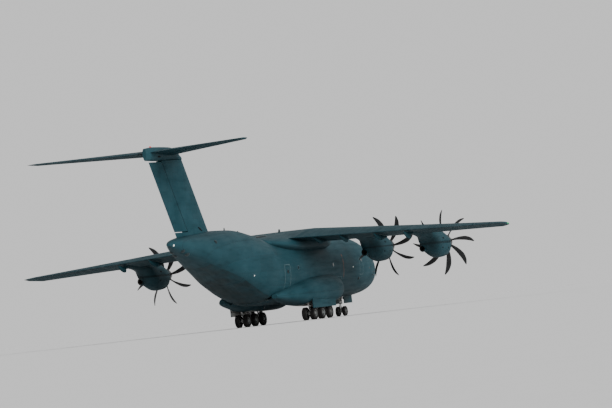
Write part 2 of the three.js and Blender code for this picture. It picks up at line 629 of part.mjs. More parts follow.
let wing = wingSolid(0, WING_ROOT + FIT, HALF_SPAN);
const flapSolids = [];
for (const flap of FLAPS) {
  const frame = hingeFrame(wingPoint(flap.from, FLAP_SHARE), wingPoint(flap.to, FLAP_SHARE));
  const gap = SEAM * MM;
  const deep = 2 * MM;
  const block = frameBlock(frame, [0, 0, -deep], [frame.length, 4 * MM, deep]);
  const cut = frameBlock(frame, [-gap, -gap, -deep], [frame.length + gap, 4 * MM, deep]);
  const podCut = frameBlock(frame, [-gap, -0.1 * MM, -deep], [frame.length, 4 * MM, deep]);
  let made = wing.intersect(block);
  wing = wing.subtract(cut);
  for (const out of [...flap.pods, ...flap.podsBehindEngine]) {
    // The hinge's housing: its fore half is fixed under the wing, its aft half moves
    const row = wingRow(out);
    const knee = row.lead + row.chord * FLAP_SHARE;
    const pod = sidePrism(
      [
        [knee - 1.5, row.z - 0.06 * row.chord],
        [knee - 0.9, row.z - 0.5],
        [knee + 0.05, row.z - 0.6],
        [knee + 0.9, row.z - 0.36],
        [row.lead + row.chord * 0.99, row.z - 0.02],
        [knee, row.z + 0.02],
      ],
      out - 0.13,
      out + 0.13,
    );
    made = made.add(pod.intersect(block));
    if (flap.pods.includes(out)) wing = wing.add(pod.subtract(podCut));
  }
  flapSolids.push({ ...flap, solid: made, frame });
}
const aileronParts = hingedSurface(
  wing,
  wingPoint(AILERON.from, AILERON_SHARE),
  wingPoint(AILERON.to, AILERON_SHARE),
  AILERON.noseFrom,
  AILERON.noseTo,
);
wing = wing.subtract(aileronParts.cut);

// Engine housings hang from the wing, each round a plain engine block, with an intake in the
// chin and an exhaust on the port side
function engineHousing(engine) {
  const side = Math.abs(engine.y);
  const higher = wingRow(side).z - engine.z - (wingRow(ENGINES[1].y).z - ENGINES[1].z);
  const shifted = NACELLE.map((row) => ({
    ...row,
    s: row.s + engine.s,
    top: row.top + engine.z + row.rise * higher,
    bottom: row.bottom + engine.z + row.rise * higher,
    mid: row.mid + engine.z + row.rise * higher,
    y: side,
  }));
  const at = (s, y, z) => place(engine.s + s, side + y, engine.z + z);
  const [front, rear] = [engine.s + 0.36, engine.s + 7.8];
  const outer = body(shifted, front, rear, 0, NACELLE_SIDES);
  const cavity = body(shifted, engine.s + 0.5, engine.s + ENGINE_BACK, -0.08, 8);
  const shaftHole = bar(at(0.2, 0, 0), at(0.7, 0, 0), 0.2, 10);
  const chin = loft(
    [0.2, 0.75].map((s) =>
      [[-0.36, -0.6], [0.36, -0.6], [0.26, -0.79], [-0.26, -0.79]].map(([y, z]) => at(s, y, z)),
    ),
  );
  return { outer, cavity, shaftHole, chin, at };
}
const ENGINE_BACK = 3.5;
const ENGINE_FRONT = 0.66;
const ENGINE_RADIUS = 0.43;

const wingGrown = wingSolid(FIT * 2, WING_ROOT, HALF_SPAN);
for (const engine of ENGINES) {
  const { outer, cavity, shaftHole, chin, at } = engineHousing(engine);
  const toPort = engine.y > 0 ? 1 : -1;
  const pipe = (radius, from, to) =>
    bar(at(from, toPort * 0.3, -0.3), at(to, toPort * 0.62, -0.34), radius, 10);
  let housing = outer.add(pipe(0.29, 2.2, 3.85)).subtract(cavity);
  housing = housing.subtract(pipe(0.23, 2.1, 4.0)).subtract(shaftHole).subtract(chin);
  housing = housing.subtract(wingGrown);
  const block = bar(at(ENGINE_FRONT, 0, 0), at(ENGINE_BACK - FIT, 0, 0), ENGINE_RADIUS, 12);
  const blockClear = block.subtract(pipe(0.31, 2.1, 4.0));
  const [shell, core] = engine.y > 0 ? [housing, blockClear] : [housing, blockClear].map(mirrored);
  addPiece(`engine_housing_${engine.number}`, shell, LOOKS.skin);
  addPiece(`engine_block_${engine.number}`, core, LOOKS.engine);
}

for (const [side, turned] of [["left", (solid) => solid], ["right", mirrored]]) {
  addPiece(`wing_${side}`, turned(wing), LOOKS.skin);
  addPiece(`aileron_${side}`, turned(aileronParts.surface), LOOKS.panel);
  for (const flap of flapSolids) {
    addPiece(`flap_${flap.name}_${side}`, turned(flap.solid), LOOKS.panel);
  }
}

// Propellers: a spinner with eight swept blades, turning about the shaft
const SPINNER = [
  // radius, distance aft of the blades
  [0, -1.08], [0.2, -0.98], [0.38, -0.7], [0.5, -0.3], [0.55, 0.05], [0.55, 0.3], [0, 0.3],
];
const SPINNER_SIDES = 12;
// Blade sections: radius, chord, thickness, angle from the disc, and how far they lean in the
// disc and aft of it
const BLADE = [
  { r: 0.45, chord: 0.24, thick: 0.15, angle: 72, sweep: 0, aft: 0 },
  { r: 0.95, chord: 0.42, thick: 0.08, angle: 62, sweep: 0.03, aft: 0.04 },
  { r: 1.75, chord: 0.52, thick: 0.05, angle: 50, sweep: 0.2, aft: 0.15 },
  { r: 2.3, chord: 0.4, thick: 0.032, angle: 43, sweep: 0.45, aft: 0.27 },
  { r: PROP_RADIUS, chord: 0.16, thick: 0.02, angle: 40, sweep: 0.72, aft: 0.38 },
];

function propeller({ hand, turn: firstTurn }) {
  const profile = SPINNER.map(([r, aft]) => new THREE.Vector2(r * MM, -aft * MM));
  const spinner = new THREE.LatheGeometry(profile.reverse(), SPINNER_SIDES).rotateZ(-Math.PI / 2);
  let made = solidFrom(spinner);
  const shaft = new THREE.CylinderGeometry(0.11 * MM, 0.11 * MM, 0.4 * MM, 10);
  shaft.rotateZ(Math.PI / 2).translate(-0.43 * MM, 0, 0);
  made = made.add(solidFrom(shaft));
  for (let k = 0; k < BLADES; k += 1) {
    const turn = firstTurn * DEGREE + (k * 2 * Math.PI) / BLADES;
    const rings = BLADE.map(({ r, chord, thick, angle, sweep, aft }) => {
      const tilt = angle * DEGREE;
      const corners = [[-0.5, 0], [-0.2, 0.5], [0.5, 0], [-0.2, -0.5]];
      return corners.map(([c, t]) => {
        const along = c * chord;
        const across = t * thick;
        const tangent = hand * (sweep + along * Math.cos(tilt) - across * Math.sin(tilt));
        const axial = -(aft + along * Math.sin(tilt) + across * Math.cos(tilt));
        const reach = Math.sqrt(Math.max(0, r * r - sweep * sweep));
        const y = reach * Math.cos(turn) - tangent * Math.sin(turn);
        const z = reach * Math.sin(turn) + tangent * Math.cos(turn);
        return new THREE.Vector3(axial * MM, y * MM, z * MM);
      });
    });
    made = made.add(loft(rings));
  }
  return made;
}

for (const engine of ENGINES) {
  const hub = place(engine.s, engine.y, engine.z);
  addPiece(`propeller_${engine.number}`, propeller(engine), LOOKS.blade, hub);
}

// Landing gear fairings with their wheel wells, and a door hanging along the outer edge
const WELL = { s0: 15.3, s1: 20.45, y0: 2.3, y1: 3.62, top: 1.95 };
const sponsonSolid = body(SPONSON, 11.9, 25.2, 0, 16);
const wheelWell = box(WELL.s0, WELL.s1, WELL.y0, WELL.y1, 0, WELL.top);
const gearDoor = box(WELL.s0 + 0.05, WELL.s1 - 0.05, WELL.y1, WELL.y1 + 0.06, 0.95, 1.85);
const rampSpace = box(RAMP_HINGE_S - 0.6, 27, -2, RAMP_HALF_WIDTH + 2 * SEAM, 0, 4);
const sponson = joined(sponsonSolid.subtract(wheelWell).subtract(rampSpace), gearDoor)
  .subtract(hullGrown);
addPiece("sponson_left", sponson, LOOKS.skin);
addPiece("sponson_right", mirrored(sponson), LOOKS.skin);

// Twin wheels on a turning axle, standing on a flat of their many sides
const TYRE_PROFILE = [
  // share of the radius, share of the half width
  [0, -0.7], [0.8, -1], [1, -0.6], [1, 0.6], [0.8, 1], [0, 0.7],
];
function twinWheels(radius, halfWidth, halfTrack, axleRadius) {
  const profile = TYRE_PROFILE.map(([r, w]) => new THREE.Vector2(r * radius * MM, w * halfWidth * MM));
  const wheel = (y) => {
    const made = new THREE.LatheGeometry(profile, WHEEL_SIDES);
    made.rotateY(Math.PI / WHEEL_SIDES).translate(0, y * MM, 0);
    return solidFrom(made);
  };
  const axle = new THREE.CylinderGeometry(axleRadius * MM, axleRadius * MM, 2 * halfTrack * MM, 8);
  return joined(wheel(halfTrack), wheel(-halfTrack), solidFrom(axle));
}
// The axle's height that puts a flat of the wheel's sides on the ground
const axleHeight = (radius) => radius * Math.cos(Math.PI / WHEEL_SIDES);

const MAIN_AXLE_Z = axleHeight(MAIN_WHEEL_RADIUS);
const MAIN_WHEELS = { halfWidth: 0.19, halfTrack: 0.37, axle: 0.07 };
const AXLE_SLEEVE = { inner: 0.07 + RUNNING_GAP, outer: 0.15, half: 0.12 };

const sleeve = (s, y, z, { inner, outer, half }) =>
  bar(place(s, y - half, z), place(s, y + half, z), outer, 10);
const sleeveBore = (s, y, z, { inner, half }) =>
  bar(place(s, y - half - 0.1, z), place(s, y + half + 0.1, z), inner, 10);

// A main gear frame: three trailing legs under one beam in the roof of the well
function mainGearFrame() {
  const beamTop = WELL.top - FIT;
  const [inner, outer] = [MAIN_GEAR_Y - 0.12, MAIN_GEAR_Y + 0.12];
  let made = box(WELL.s0 + FIT, WELL.s1 - FIT, inner, outer, beamTop - 0.14, beamTop);
  for (const s of MAIN_GEAR_S) {
    const knee = place(s - 0.62, MAIN_GEAR_Y, 1.02);
    const axle = place(s, MAIN_GEAR_Y, MAIN_AXLE_Z);
    made = joined(
      made,
      bar(place(s - 0.62, MAIN_GEAR_Y, beamTop - 0.07), knee, 0.11, 8),
      bar(place(s - 0.62, MAIN_GEAR_Y - 0.13, 1.02), place(s - 0.62, MAIN_GEAR_Y + 0.13, 1.02), 0.14),
      bar(knee, axle, 0.1, 6),
      bar(place(s - 0.12, MAIN_GEAR_Y, 0.72), place(s + 0.12, MAIN_GEAR_Y, beamTop - 0.07), 0.085, 6),
      sleeve(s, MAIN_GEAR_Y, MAIN_AXLE_Z, AXLE_SLEEVE),
    );
  }
  for (const s of MAIN_GEAR_S) {
    made = made.subtract(sleeveBore(s, MAIN_GEAR_Y, MAIN_AXLE_Z, AXLE_SLEEVE));
  }
  return made;
}
const gearFrame = mainGearFrame();
addPiece("main_gear_frame_left", gearFrame, LOOKS.strut);
addPiece("main_gear_frame_right", mirrored(gearFrame), LOOKS.strut);

const mainWheels = twinWheels(
  MAIN_WHEEL_RADIUS,
  MAIN_WHEELS.halfWidth,
  MAIN_WHEELS.halfTrack,
  MAIN_WHEELS.axle,
);
for (const [side, sign] of [["left", 1], ["right", -1]]) {
  MAIN_GEAR_S.forEach((s, i) => {
    const at = place(s, sign * MAIN_GEAR_Y, MAIN_AXLE_Z);
    addPiece(`main_wheels_${side}_${i + 1}`, mainWheels, LOOKS.tyre, at);
  });
}

// Nose gear: a fixed leg with its brace, a fork that steers, and twin wheels
const NOSE_AXLE_Z = axleHeight(NOSE_WHEEL_RADIUS);
const NOSE_WHEELS = { halfWidth: 0.14, halfTrack: 0.3, axle: 0.06 };
const NOSE_SLEEVE = { inner: 0.06 + RUNNING_GAP, outer: 0.13, half: 0.1 };
const LEG_FOOT = 1.2;
const LEG_TOP = FLOOR_TOP - FLOOR_THICK - FIT;
const noseLeg = joined(
  bar(place(NOSE_GEAR_S, 0, LEG_FOOT), place(NOSE_GEAR_S, 0, LEG_TOP), 0.13, 12),
  bar(place(NOSE_GEAR_S, -0.4, 1.75), place(NOSE_GEAR_S, 0.4, 1.75), 0.07),
  bar(place(NOSE_GEAR_S - 0.05, 0, 1.4), place(NOSE_GEAR_S - 1.0, 0, LEG_TOP - 0.06), 0.06),
);
addPiece("nose_gear_leg", noseLeg, LOOKS.strut);

const forkTop = LEG_FOOT - RUNNING_GAP;
const noseFork = joined(
  bar(place(NOSE_GEAR_S, 0, NOSE_AXLE_Z + 0.05), place(NOSE_GEAR_S, 0, forkTop), 0.1, 12),
  bar(place(NOSE_GEAR_S, 0, forkTop - 0.12), place(NOSE_GEAR_S, 0, forkTop), 0.15, 12),
  sleeve(NOSE_GEAR_S, 0, NOSE_AXLE_Z, NOSE_SLEEVE),
).subtract(sleeveBore(NOSE_GEAR_S, 0, NOSE_AXLE_Z, NOSE_SLEEVE));
addPiece("nose_gear_fork", noseFork, LOOKS.strut);

addPiece(
  "nose_wheels",
  twinWheels(NOSE_WHEEL_RADIUS, NOSE_WHEELS.halfWidth, NOSE_WHEELS.halfTrack, NOSE_WHEELS.axle),
  LOOKS.tyre,
  place(NOSE_GEAR_S, 0, NOSE_AXLE_Z),
);

const noseDoor = joined(
  box(NOSE_BAY.s0 + 0.02, NOSE_BAY.s1 - 0.02, 0.54, 0.6, 1.05, 1.84),
).subtract(noseShell.translate([0, 0, -FIT * MM]).add(noseShell));
addPiece("nose_gear_door_left", noseDoor, LOOKS.belly);
addPiece("nose_gear_door_right", mirrored(noseDoor), LOOKS.belly);

// Tail: fin with rudder, tailplane with elevators, and the fairing where they meet
const finPoint = (s, side, row) => place(s, side, row.z);
const finWhole = loft(FIN.map((row) => surfaceRing({ ...row }, 0, finPoint))).subtract(hullGrown);
const finRow = (z) => {
  const share = (z - FIN[0].z) / (FIN[1].z - FIN[0].z);
  return { lead: FIN[0].lead + (FIN[1].lead - FIN[0].lead) * share, chord: FIN[0].chord };
};
const RUDDER = { low: 8.06, high: 13.52, share: 0.7, noseLow: 0.252, noseHigh: 0.24 };
const rudderHinge = (z) => place(finRow(z).lead + finRow(z).chord * RUDDER.share, 0, z);
const rudderParts = hingedSurface(
  finWhole,
  rudderHinge(RUDDER.low),
  rudderHinge(RUDDER.high),
  RUDDER.noseLow,
  RUDDER.noseHigh,
  {
    up: new THREE.Vector3(0, 1, 0),
    surface: box(30, 46, -2, 2, RUDDER.low, RUDDER.high),
    removed: box(30, 46, -2, 2, RUDDER.low - 0.08, 15),
  },
);
addPiece("fin", finWhole.subtract(rudderParts.cut), LOOKS.skin);
addPiece("rudder", rudderParts.surface, LOOKS.panel);

const tailPoint = (s, up, row) => place(s, row.out, row.z + up);
const TIP = { lead: 43.6, chord: LENGTH - 43.6, z: 14.49, rise: 0, thick: 0.06, camber: 0 };
const tailRows = [
  { ...TIP, out: -TAILPLANE_HALF_SPAN },
  ...TAILPLANE,
  { ...TIP, out: TAILPLANE_HALF_SPAN },
];
const tailWhole = loft(tailRows.map((row) => surfaceRing(row, 0, tailPoint)));
const tailGrown = loft(tailRows.map((row) => surfaceRing(row, FIT * 2, tailPoint)));
const ELEVATOR = { from: 0.75, to: 8.35, share: 0.68, noseFrom: 0.178, noseTo: 0.068 };
const elevatorHinge = (out) => {
  const share = (out - 0.4) / (8.75 - 0.4);
  const [low, high] = [TAILPLANE[2], TAILPLANE[3]];
  const mix = (key) => low[key] + (high[key] - low[key]) * share;
  return place(mix("lead") + mix("chord") * ELEVATOR.share, out, mix("z"));
};
const elevatorParts = hingedSurface(
  tailWhole,
  elevatorHinge(ELEVATOR.from),
  elevatorHinge(ELEVATOR.to),
  ELEVATOR.noseFrom,
  ELEVATOR.noseTo,
  {
    surface: box(30, 50, ELEVATOR.from, ELEVATOR.to, 13, 16),
    removed: box(30, 50, ELEVATOR.from - 0.06, ELEVATOR.to + 0.06, 13, 16),
  },
);
const tailplane = tailWhole.subtract(elevatorParts.cut).subtract(mirrored(elevatorParts.cut));
addPiece("tailplane", tailplane, LOOKS.skin);
addPiece("elevator_left", elevatorParts.surface, LOOKS.panel);
addPiece("elevator_right", mirrored(elevatorParts.surface), LOOKS.panel);

const finGrown = loft(
  FIN.map((row) => surfaceRing({ ...row }, FIT * 2, finPoint)),
).translate([0, 0, FIT * MM]);
const tailFairing = body(TAIL_FAIRING, 35.85, 42.9, 0, 12).subtract(tailGrown).subtract(finGrown);
addPiece("tail_fairing", tailFairing, LOOKS.skin);

export default root;
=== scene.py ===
"""Looks of a four-engined military transport plane, standing on its landing gear.

Sizes are metres of the full-size aircraft unless a comment says otherwise: s is the station aft
of the nose tip, y is to port and z is up from the ground. place() gives the half-size model's
frame, which is the CAD's. The tables and the cuts follow the CAD source's, with finer faces.
"""

import json
import math

import bmesh
import bpy
from mathutils import Matrix, Quaternion, Vector

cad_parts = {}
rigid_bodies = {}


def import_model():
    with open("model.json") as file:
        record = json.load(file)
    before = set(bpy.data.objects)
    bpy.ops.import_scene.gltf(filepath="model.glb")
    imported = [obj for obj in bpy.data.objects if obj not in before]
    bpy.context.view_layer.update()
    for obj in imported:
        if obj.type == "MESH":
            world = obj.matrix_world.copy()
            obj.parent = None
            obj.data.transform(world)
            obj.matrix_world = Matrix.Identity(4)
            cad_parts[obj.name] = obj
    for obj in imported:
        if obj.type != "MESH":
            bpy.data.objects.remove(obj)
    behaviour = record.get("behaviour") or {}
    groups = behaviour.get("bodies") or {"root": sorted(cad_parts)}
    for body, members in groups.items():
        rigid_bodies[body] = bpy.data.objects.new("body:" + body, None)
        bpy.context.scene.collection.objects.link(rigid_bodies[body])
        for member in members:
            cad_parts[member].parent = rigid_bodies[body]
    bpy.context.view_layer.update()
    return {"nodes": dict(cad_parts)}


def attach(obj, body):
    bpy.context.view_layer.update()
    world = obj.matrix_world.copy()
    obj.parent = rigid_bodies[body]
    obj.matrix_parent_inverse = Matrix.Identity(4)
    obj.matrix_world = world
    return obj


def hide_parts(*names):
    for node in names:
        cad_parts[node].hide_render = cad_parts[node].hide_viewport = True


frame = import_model()

# Driving dimensions
SCALE = 0.5
LENGTH = 45.1
HALF_SPAN = 21.18
WALL = 0.12
SEAM = 0.012
FIT = 0.0016
FLOOR_TOP = 2.35
FLOOR_THICK = 0.22
RAMP_HINGE_S = 24.95
RAMP_HALF_WIDTH = 1.9
RAMP_END_S = 30.2
RAMP_FLOOR_END = (29.85, 3.95)
DOOR_END_S = 34.8
DOOR_END_HALF_WIDTH = 1.12
DOOR_TOP = 5.6
NOSE_JOINT_S = 8.2
TAIL_JOINT_S = 24.9
CONE_END_S = 40.25
PROP_RADIUS = 2.665
BLADES = 8
# Number, place of the shaft, station of the blades, the way the blades curve, and their turn
ENGINES = [
    {"number": 1, "y": 12.62, "z": 5.09, "s": 12.2, "hand": -1, "turn": 39},
    {"number": 2, "y": 6.9, "z": 5.35, "s": 10.5, "hand": 1, "turn": 34},
    {"number": 3, "y": -6.9, "z": 5.35, "s": 10.5, "hand": -1, "turn": 42},
    {"number": 4, "y": -12.62, "z": 5.09, "s": 12.2, "hand": 1, "turn": 33},
]
MAIN_WHEEL_RADIUS = 0.545
NOSE_WHEEL_RADIUS = 0.42
MAIN_GEAR_Y = 2.97
MAIN_GEAR_S = [16.2, 17.9, 19.6]
NOSE_GEAR_S = 4.9
WHEEL_SIDES = 16

# Sections of the fuselage and its fairings: station, crown, keel, half width, height of the
# widest point, squareness of the lower half (2 is an ellipse), and the middle's distance to port
COLUMNS = ("s", "top", "bottom", "half", "mid", "square", "y")
FUSELAGE = [
    (0.0, 3.43, 3.29, 0.06, 3.36, 2, 0),
    (0.1, 3.88, 2.84, 0.6, 3.36, 2, 0),
    (0.45, 4.34, 2.41, 1.2, 3.39, 2, 0),
    (1.0, 4.77, 2.08, 1.77, 3.45, 2.1, 0),
    (1.8, 5.26, 1.86, 2.26, 3.66, 2.2, 0),
    (2.9, 6.06, 1.72, 2.61, 3.95, 2.3, 0),
    (4.2, 6.58, 1.63, 2.77, 4.13, 2.3, 0),
    (5.8, 6.83, 1.6, 2.82, 4.24, 2.4, 0),
    (8.2, 6.94, 1.59, 2.82, 4.29, 2.4, 0),
    (23.4, 7.13, 1.61, 2.82, 4.39, 2.6, 0),
    (26.0, 7.56, 2.15, 2.81, 4.82, 3, 0),
    (29.0, 7.93, 3.14, 2.67, 5.45, 3.1, 0),
    (32.0, 7.96, 4.16, 2.26, 6.01, 2.7, 0),
    (35.0, 7.83, 5.17, 1.73, 6.47, 2.3, 0),
    (38.0, 7.64, 6.18, 0.97, 6.92, 2.1, 0),
    (39.6, 7.43, 6.76, 0.44, 7.1, 2, 0),
    (40.25, 7.2, 7.0, 0.12, 7.1, 2, 0),
]
WING_FAIRING = [
    (11.4, 6.98, 6.7, 0.35, 6.84, 2, 0),
    (12.1, 7.15, 5.9, 2.3, 6.45, 2.3, 0),
    (12.9, 7.28, 5.62, 2.87, 6.3, 2.8, 0),
    (13.9, 7.36, 5.6, 2.92, 6.3, 3, 0),
    (16.0, 7.42, 5.55, 2.92, 6.35, 3, 0),
    (19.5, 7.26, 5.6, 2.92, 6.35, 3, 0),
    (21.3, 7.15, 5.75, 2.85, 6.35, 2.6, 0),
    (23.4, 7.1, 6.1, 2.2, 6.5, 2.2, 0),
    (25.2, 7.1, 6.5, 0.9, 6.8, 2, 0),
]
SPONSON = [
    (11.9, 2.9, 2.1, 0.35, 2.5, 2, 2.6),
    (12.4, 3.3, 1.72, 0.95, 2.4, 2.2, 2.4),
    (13.5, 3.6, 1.34, 1.4, 2.35, 2.5, 2.33),
    (15.2, 3.62, 1.16, 1.57, 2.25, 2.8, 2.3),
    (18.0, 3.5, 1.17, 1.55, 2.2, 2.7, 2.3),
    (20.8, 3.15, 1.32, 1.42, 2.15, 2.5, 2.3),
    (22.6, 2.88, 1.55, 1.05, 2.12, 2.2, 2.3),
    (24.4, 2.6, 1.84, 0.6, 2.15, 2, 2.3),
    (25.2, 2.4, 2.05, 0.25, 2.2, 2, 2.3),
]
TAIL_FAIRING = [
    (35.85, 13.86, 13.68, 0.1, 13.77, 2, 0),
    (36.4, 14.2, 13.67, 0.24, 13.9, 2, 0),
    (37.1, 14.56, 13.66, 0.36, 14.1, 2, 0),
    (38.2, 14.76, 13.67, 0.42, 14.22, 2.2, 0),
    (41.3, 14.8, 13.7, 0.42, 14.32, 2.2, 0),
    (42.9, 14.7, 13.74, 0.15, 14.3, 2, 0),
]
# Engine housing: distance behind the blades, heights from the shaft, half width, squareness,
# and how much of the wing's height above the inner engine's it takes up
NACELLE = [
    (0.36, 0.57, -0.88, 0.6, -0.05, 2, 0),
    (0.62, 0.68, -1.02, 0.72, -0.1, 2.2, 0),
    (1.15, 0.88, -1.15, 0.86, -0.15, 2.3, 0),
    (2.15, 1.2, -1.2, 0.93, -0.1, 2.3, 0.1),
    (3.15, 1.42, -0.91, 0.91, 0.05, 2.3, 0.5),
    (3.95, 1.5, -0.31, 0.84, 0.45, 2.2, 0.9),
    (4.55, 1.5, 0.27, 0.72, 0.85, 2.1, 1),
    (5.9, 1.42, 0.68, 0.5, 1.05, 2, 1),
    (7.8, 1.3, 0.95, 0.25, 1.15, 2, 1),
]
# Lifting surfaces: distance out, leading edge, chord, height of the leading edge, how much
# higher the trailing edge is, and thickness and camber as shares of the chord
WING = [
    (0, 12.9, 8.0, 6.8, 0, 0.14, 0.02),
    (2.95, 13.75, 7.3, 6.76, 0.03, 0.155, 0.02),
    (12.8, 16.9, 4.75, 6.2, 0.14, 0.15, 0.02),
    (20.4, 19.29, 2.8, 5.82, 0.2, 0.13, 0.02),
    (HALF_SPAN, 20.45, 1.3, 5.86, 0.12, 0.09, 0.02),
]
TAILPLANE_HALF_SPAN = 9.02
TAILPLANE = [
    (-TAILPLANE_HALF_SPAN, 43.6, LENGTH - 43.6, 14.49, 0, 0.06, 0),
    (-8.75, 43.1, 1.96, 14.48, 0, 0.09, 0),
    (-0.4, 37.0, 5.3, 14.36, 0, 0.1, 0),
    (0.4, 37.0, 5.3, 14.36, 0, 0.1, 0),
    (8.75, 43.1, 1.96, 14.48, 0, 0.09, 0),
    (TAILPLANE_HALF_SPAN, 43.6, LENGTH - 43.6, 14.49, 0, 0.06, 0),
]
FIN = [
    (6.9, 31.5, 6.45, 0, 0, 0.12, 0),
    (13.7, 35.85, 6.45, 0, 0, 0.11, 0),
]


def place(s, y, z):
    """A point of the model's frame, from a station and full-size places."""
    return Vector(((LENGTH / 2 - s) * SCALE, y * SCALE, z * SCALE))


def turns(count):
    """Angles evenly round a circle."""
    return [2 * math.pi * k / count for k in range(count)]


# Curves through the tables


def monotone_slopes(xs, ys):
    """Slopes of a smooth curve through points that never overshoots them."""
    steps = [b - a for a, b in zip(xs, xs[1:])]
    rises = [(b - a) / h for a, b, h in zip(ys, ys[1:], steps)]
    slopes = [rises[0]]
    for h0, h1, r0, r1 in zip(steps, steps[1:], rises, rises[1:]):
        if r0 * r1 <= 0:
            slopes.append(0.0)
        else:
            w0, w1 = 2 * h1 + h0, h1 + 2 * h0
            slopes.append((w0 + w1) / (w0 / r0 + w1 / r1))
    slopes.append(rises[-1])
    return slopes


def curve(xs, ys):
    """A smooth function through points, flat beyond its ends."""
    slopes = monotone_slopes(xs, ys)

    def at(x):
        x = min(max(x, xs[0]), xs[-1])
        i = max(1, next((k for k, known in enumerate(xs) if known >= x), len(xs) - 1))
        h = xs[i] - xs[i - 1]
        t = (x - xs[i - 1]) / h
        return (
            (1 + 2 * t) * (1 - t) ** 2 * ys[i - 1]
            + t * (1 - t) ** 2 * h * slopes[i - 1]
            + t * t * (3 - 2 * t) * ys[i]
            - t * t * (1 - t) * h * slopes[i]
        )

    return at


def smooth_table(table):
    """A function from a station to the smooth section there. It runs over the root of the
    distance from the first station, which keeps the nose blunt."""
    first = table[0][0]
    xs = [math.sqrt(row[0] - first) for row in table]
    curves = [curve(xs, ys) for ys in list(zip(*table))[1:]]

    def at(s):
        x = math.sqrt(max(0.0, s - first))
        row = {name: known(x) for name, known in zip(COLUMNS[1:], curves)}
        row["s"] = s
        return row

    return at


def section_point(row, angle, grow=0.0):
    """A section's point at an angle: 0 is the port side and a quarter turn is the crown."""
    across, up = math.cos(angle), math.sin(angle)
    power = 2 / row["square"] if up < 0 else 1
    height = row["mid"] - row["bottom"] if up < 0 else row["top"] - row["mid"]
    y = math.copysign(abs(across) ** power, across) * (row["half"] + grow)
    z = row["mid"] + math.copysign(abs(up) ** power, up) * (height + grow)
    return place(row["s"], row["y"] + y, z)


def stations(first, last, start, end, step):
    """Stations from start to end, closer together near the blunt ends first and last."""
    found = [start]
    while found[-1] < end - 1e-6:
        s = found[-1]
        near = min(s - first, last - s) * 0.25
        found.append(min(end, s + min(step, max(0.02, near))))
    if len(found) > 2 and found[-1] - found[-2] < 0.3 * (found[-2] - found[-3]):
        found.pop(-2)
    return found


# Solids as Blender meshes


def mesh_from(points, faces):
    mesh = bpy.data.meshes.new("work")
    mesh.from_pydata([tuple(p) for p in points], [], faces)
    work = bmesh.new()
    work.from_mesh(mesh)
    bmesh.ops.remove_doubles(work, verts=work.verts, dist=1e-6)
    bmesh.ops.recalc_face_normals(work, faces=work.faces)
    work.to_mesh(mesh)
    work.free()
    return mesh


def loft(rings):
    """A closed solid through rings of points, with flat ends."""
    sides = len(rings[0])
    last = (len(rings) - 1) * sides
    points = [p for ring in rings for p in ring]
    faces = []
    for a in range(0, last, sides):
        b = a + sides
        for k in range(sides):
            n = (k + 1) % sides
            faces.append((a + k, a + n, b + n, b + k))
    faces.append(tuple(range(sides)))
    faces.append(tuple(last + k for k in reversed(range(sides))))
    return mesh_from(points, faces)


def body(table, start, end, grow=0.0, sides=96, step=0.3):
    """The stretch of a sectioned body between two stations, made thicker all round by grow."""
    at = smooth_table(table)
    rings = []
    for s in stations(table[0][0], table[-1][0], start, end, step):
        row = at(s)
        rings.append([section_point(row, a, grow) for a in turns(sides)])
    return loft(rings)


def box(s0, s1, y0, y1, z0, z1):
    rings = [
        [place(s, y0, z0), place(s, y1, z0), place(s, y1, z1), place(s, y0, z1)] for s in (s0, s1)
    ]
    return loft(rings)


def side_prism(outline, y0, y1):
    """A prism of a side view outline, given as (s, z) points."""
    return loft([[place(s, y, z) for s, z in outline] for y in (y0, y1)])


def turned_ring(at, axis, radius, sides):
    """A circle of points round an axis, in the model's metres."""
    axis = axis.normalized()
    side = axis.orthogonal().normalized()
    other = axis.cross(side)
    return [at + (side * math.cos(a) + other * math.sin(a)) * radius for a in turns(sides)]


def bar(start, end, radius, sides=32, end_radius=None):
    """A round bar between two points of the model's frame, with a full-size radius."""
    last = radius if end_radius is None else end_radius
    axis = end - start
    ends = ((start, radius), (end, last))
    return loft([turned_ring(at, axis, r * SCALE, sides) for at, r in ends])


def crossbar(s, y, z, half, radius, sides=32):
    """A bar from side to side."""
    return bar(place(s, y - half, z), place(s, y + half, z), radius, sides)


def post(s, y, z0, z1, radius, sides=48):
    return bar(place(s, y, z0), place(s, y, z1), radius, sides)


def lathe(profile, origin, axis, sides=48):
    """A solid turned about an axis from (distance along it, radius) points in full-size metres,
    which start and end on the axis."""
    axis = axis.normalized()
    rings = [
        turned_ring(origin + axis * (along * SCALE), axis, r * SCALE, sides)
        for along, r in profile
    ]
    return loft(rings)


def solve(first, second, operation):
    """Joins or cuts two closed meshes, and uses them up."""
    scene = bpy.context.scene.collection
    work = bpy.data.objects.new("work", first)
    tool = bpy.data.objects.new("tool", second)
    scene.objects.link(work)
    scene.objects.link(tool)
    modifier = work.modifiers.new("solve", "BOOLEAN")
    modifier.operation = operation
    modifier.solver = "MANIFOLD"
    modifier.object = tool
    seen = bpy.context.evaluated_depsgraph_get()
    made = bpy.data.meshes.new_from_object(work.evaluated_get(seen), depsgraph=seen)
    bpy.data.objects.remove(work)
    bpy.data.objects.remove(tool)
    bpy.data.meshes.remove(second)
    bpy.data.meshes.remove(first)
    return made


def join(first, *others):
    for other in others:
        first = solve(first, other, "UNION")
    return first


def cut(first, *others):
    for other in others:
        first = solve(first, other, "DIFFERENCE")
    return first


def common(first, second):
    return solve(first, second, "INTERSECT")


def mirrored(mesh):
    """A copy on the other side of the aircraft."""
    made = mesh.copy()
    made.transform(Matrix.Scale(-1, 4, Vector((0, 1, 0))))
    made.flip_normals()
    return made


def together(*meshes):
    """Several meshes in one, side by side and not solved, and uses them up."""
    work = bmesh.new()
    for mesh in meshes:
        work.from_mesh(mesh)
        bpy.data.meshes.remove(mesh)
    made = bpy.data.meshes.new("work")
    work.to_mesh(made)
    work.free()
    return made


def copied(mesh):
    return mesh.copy()


SIDES = (("left", copied), ("right", mirrored))


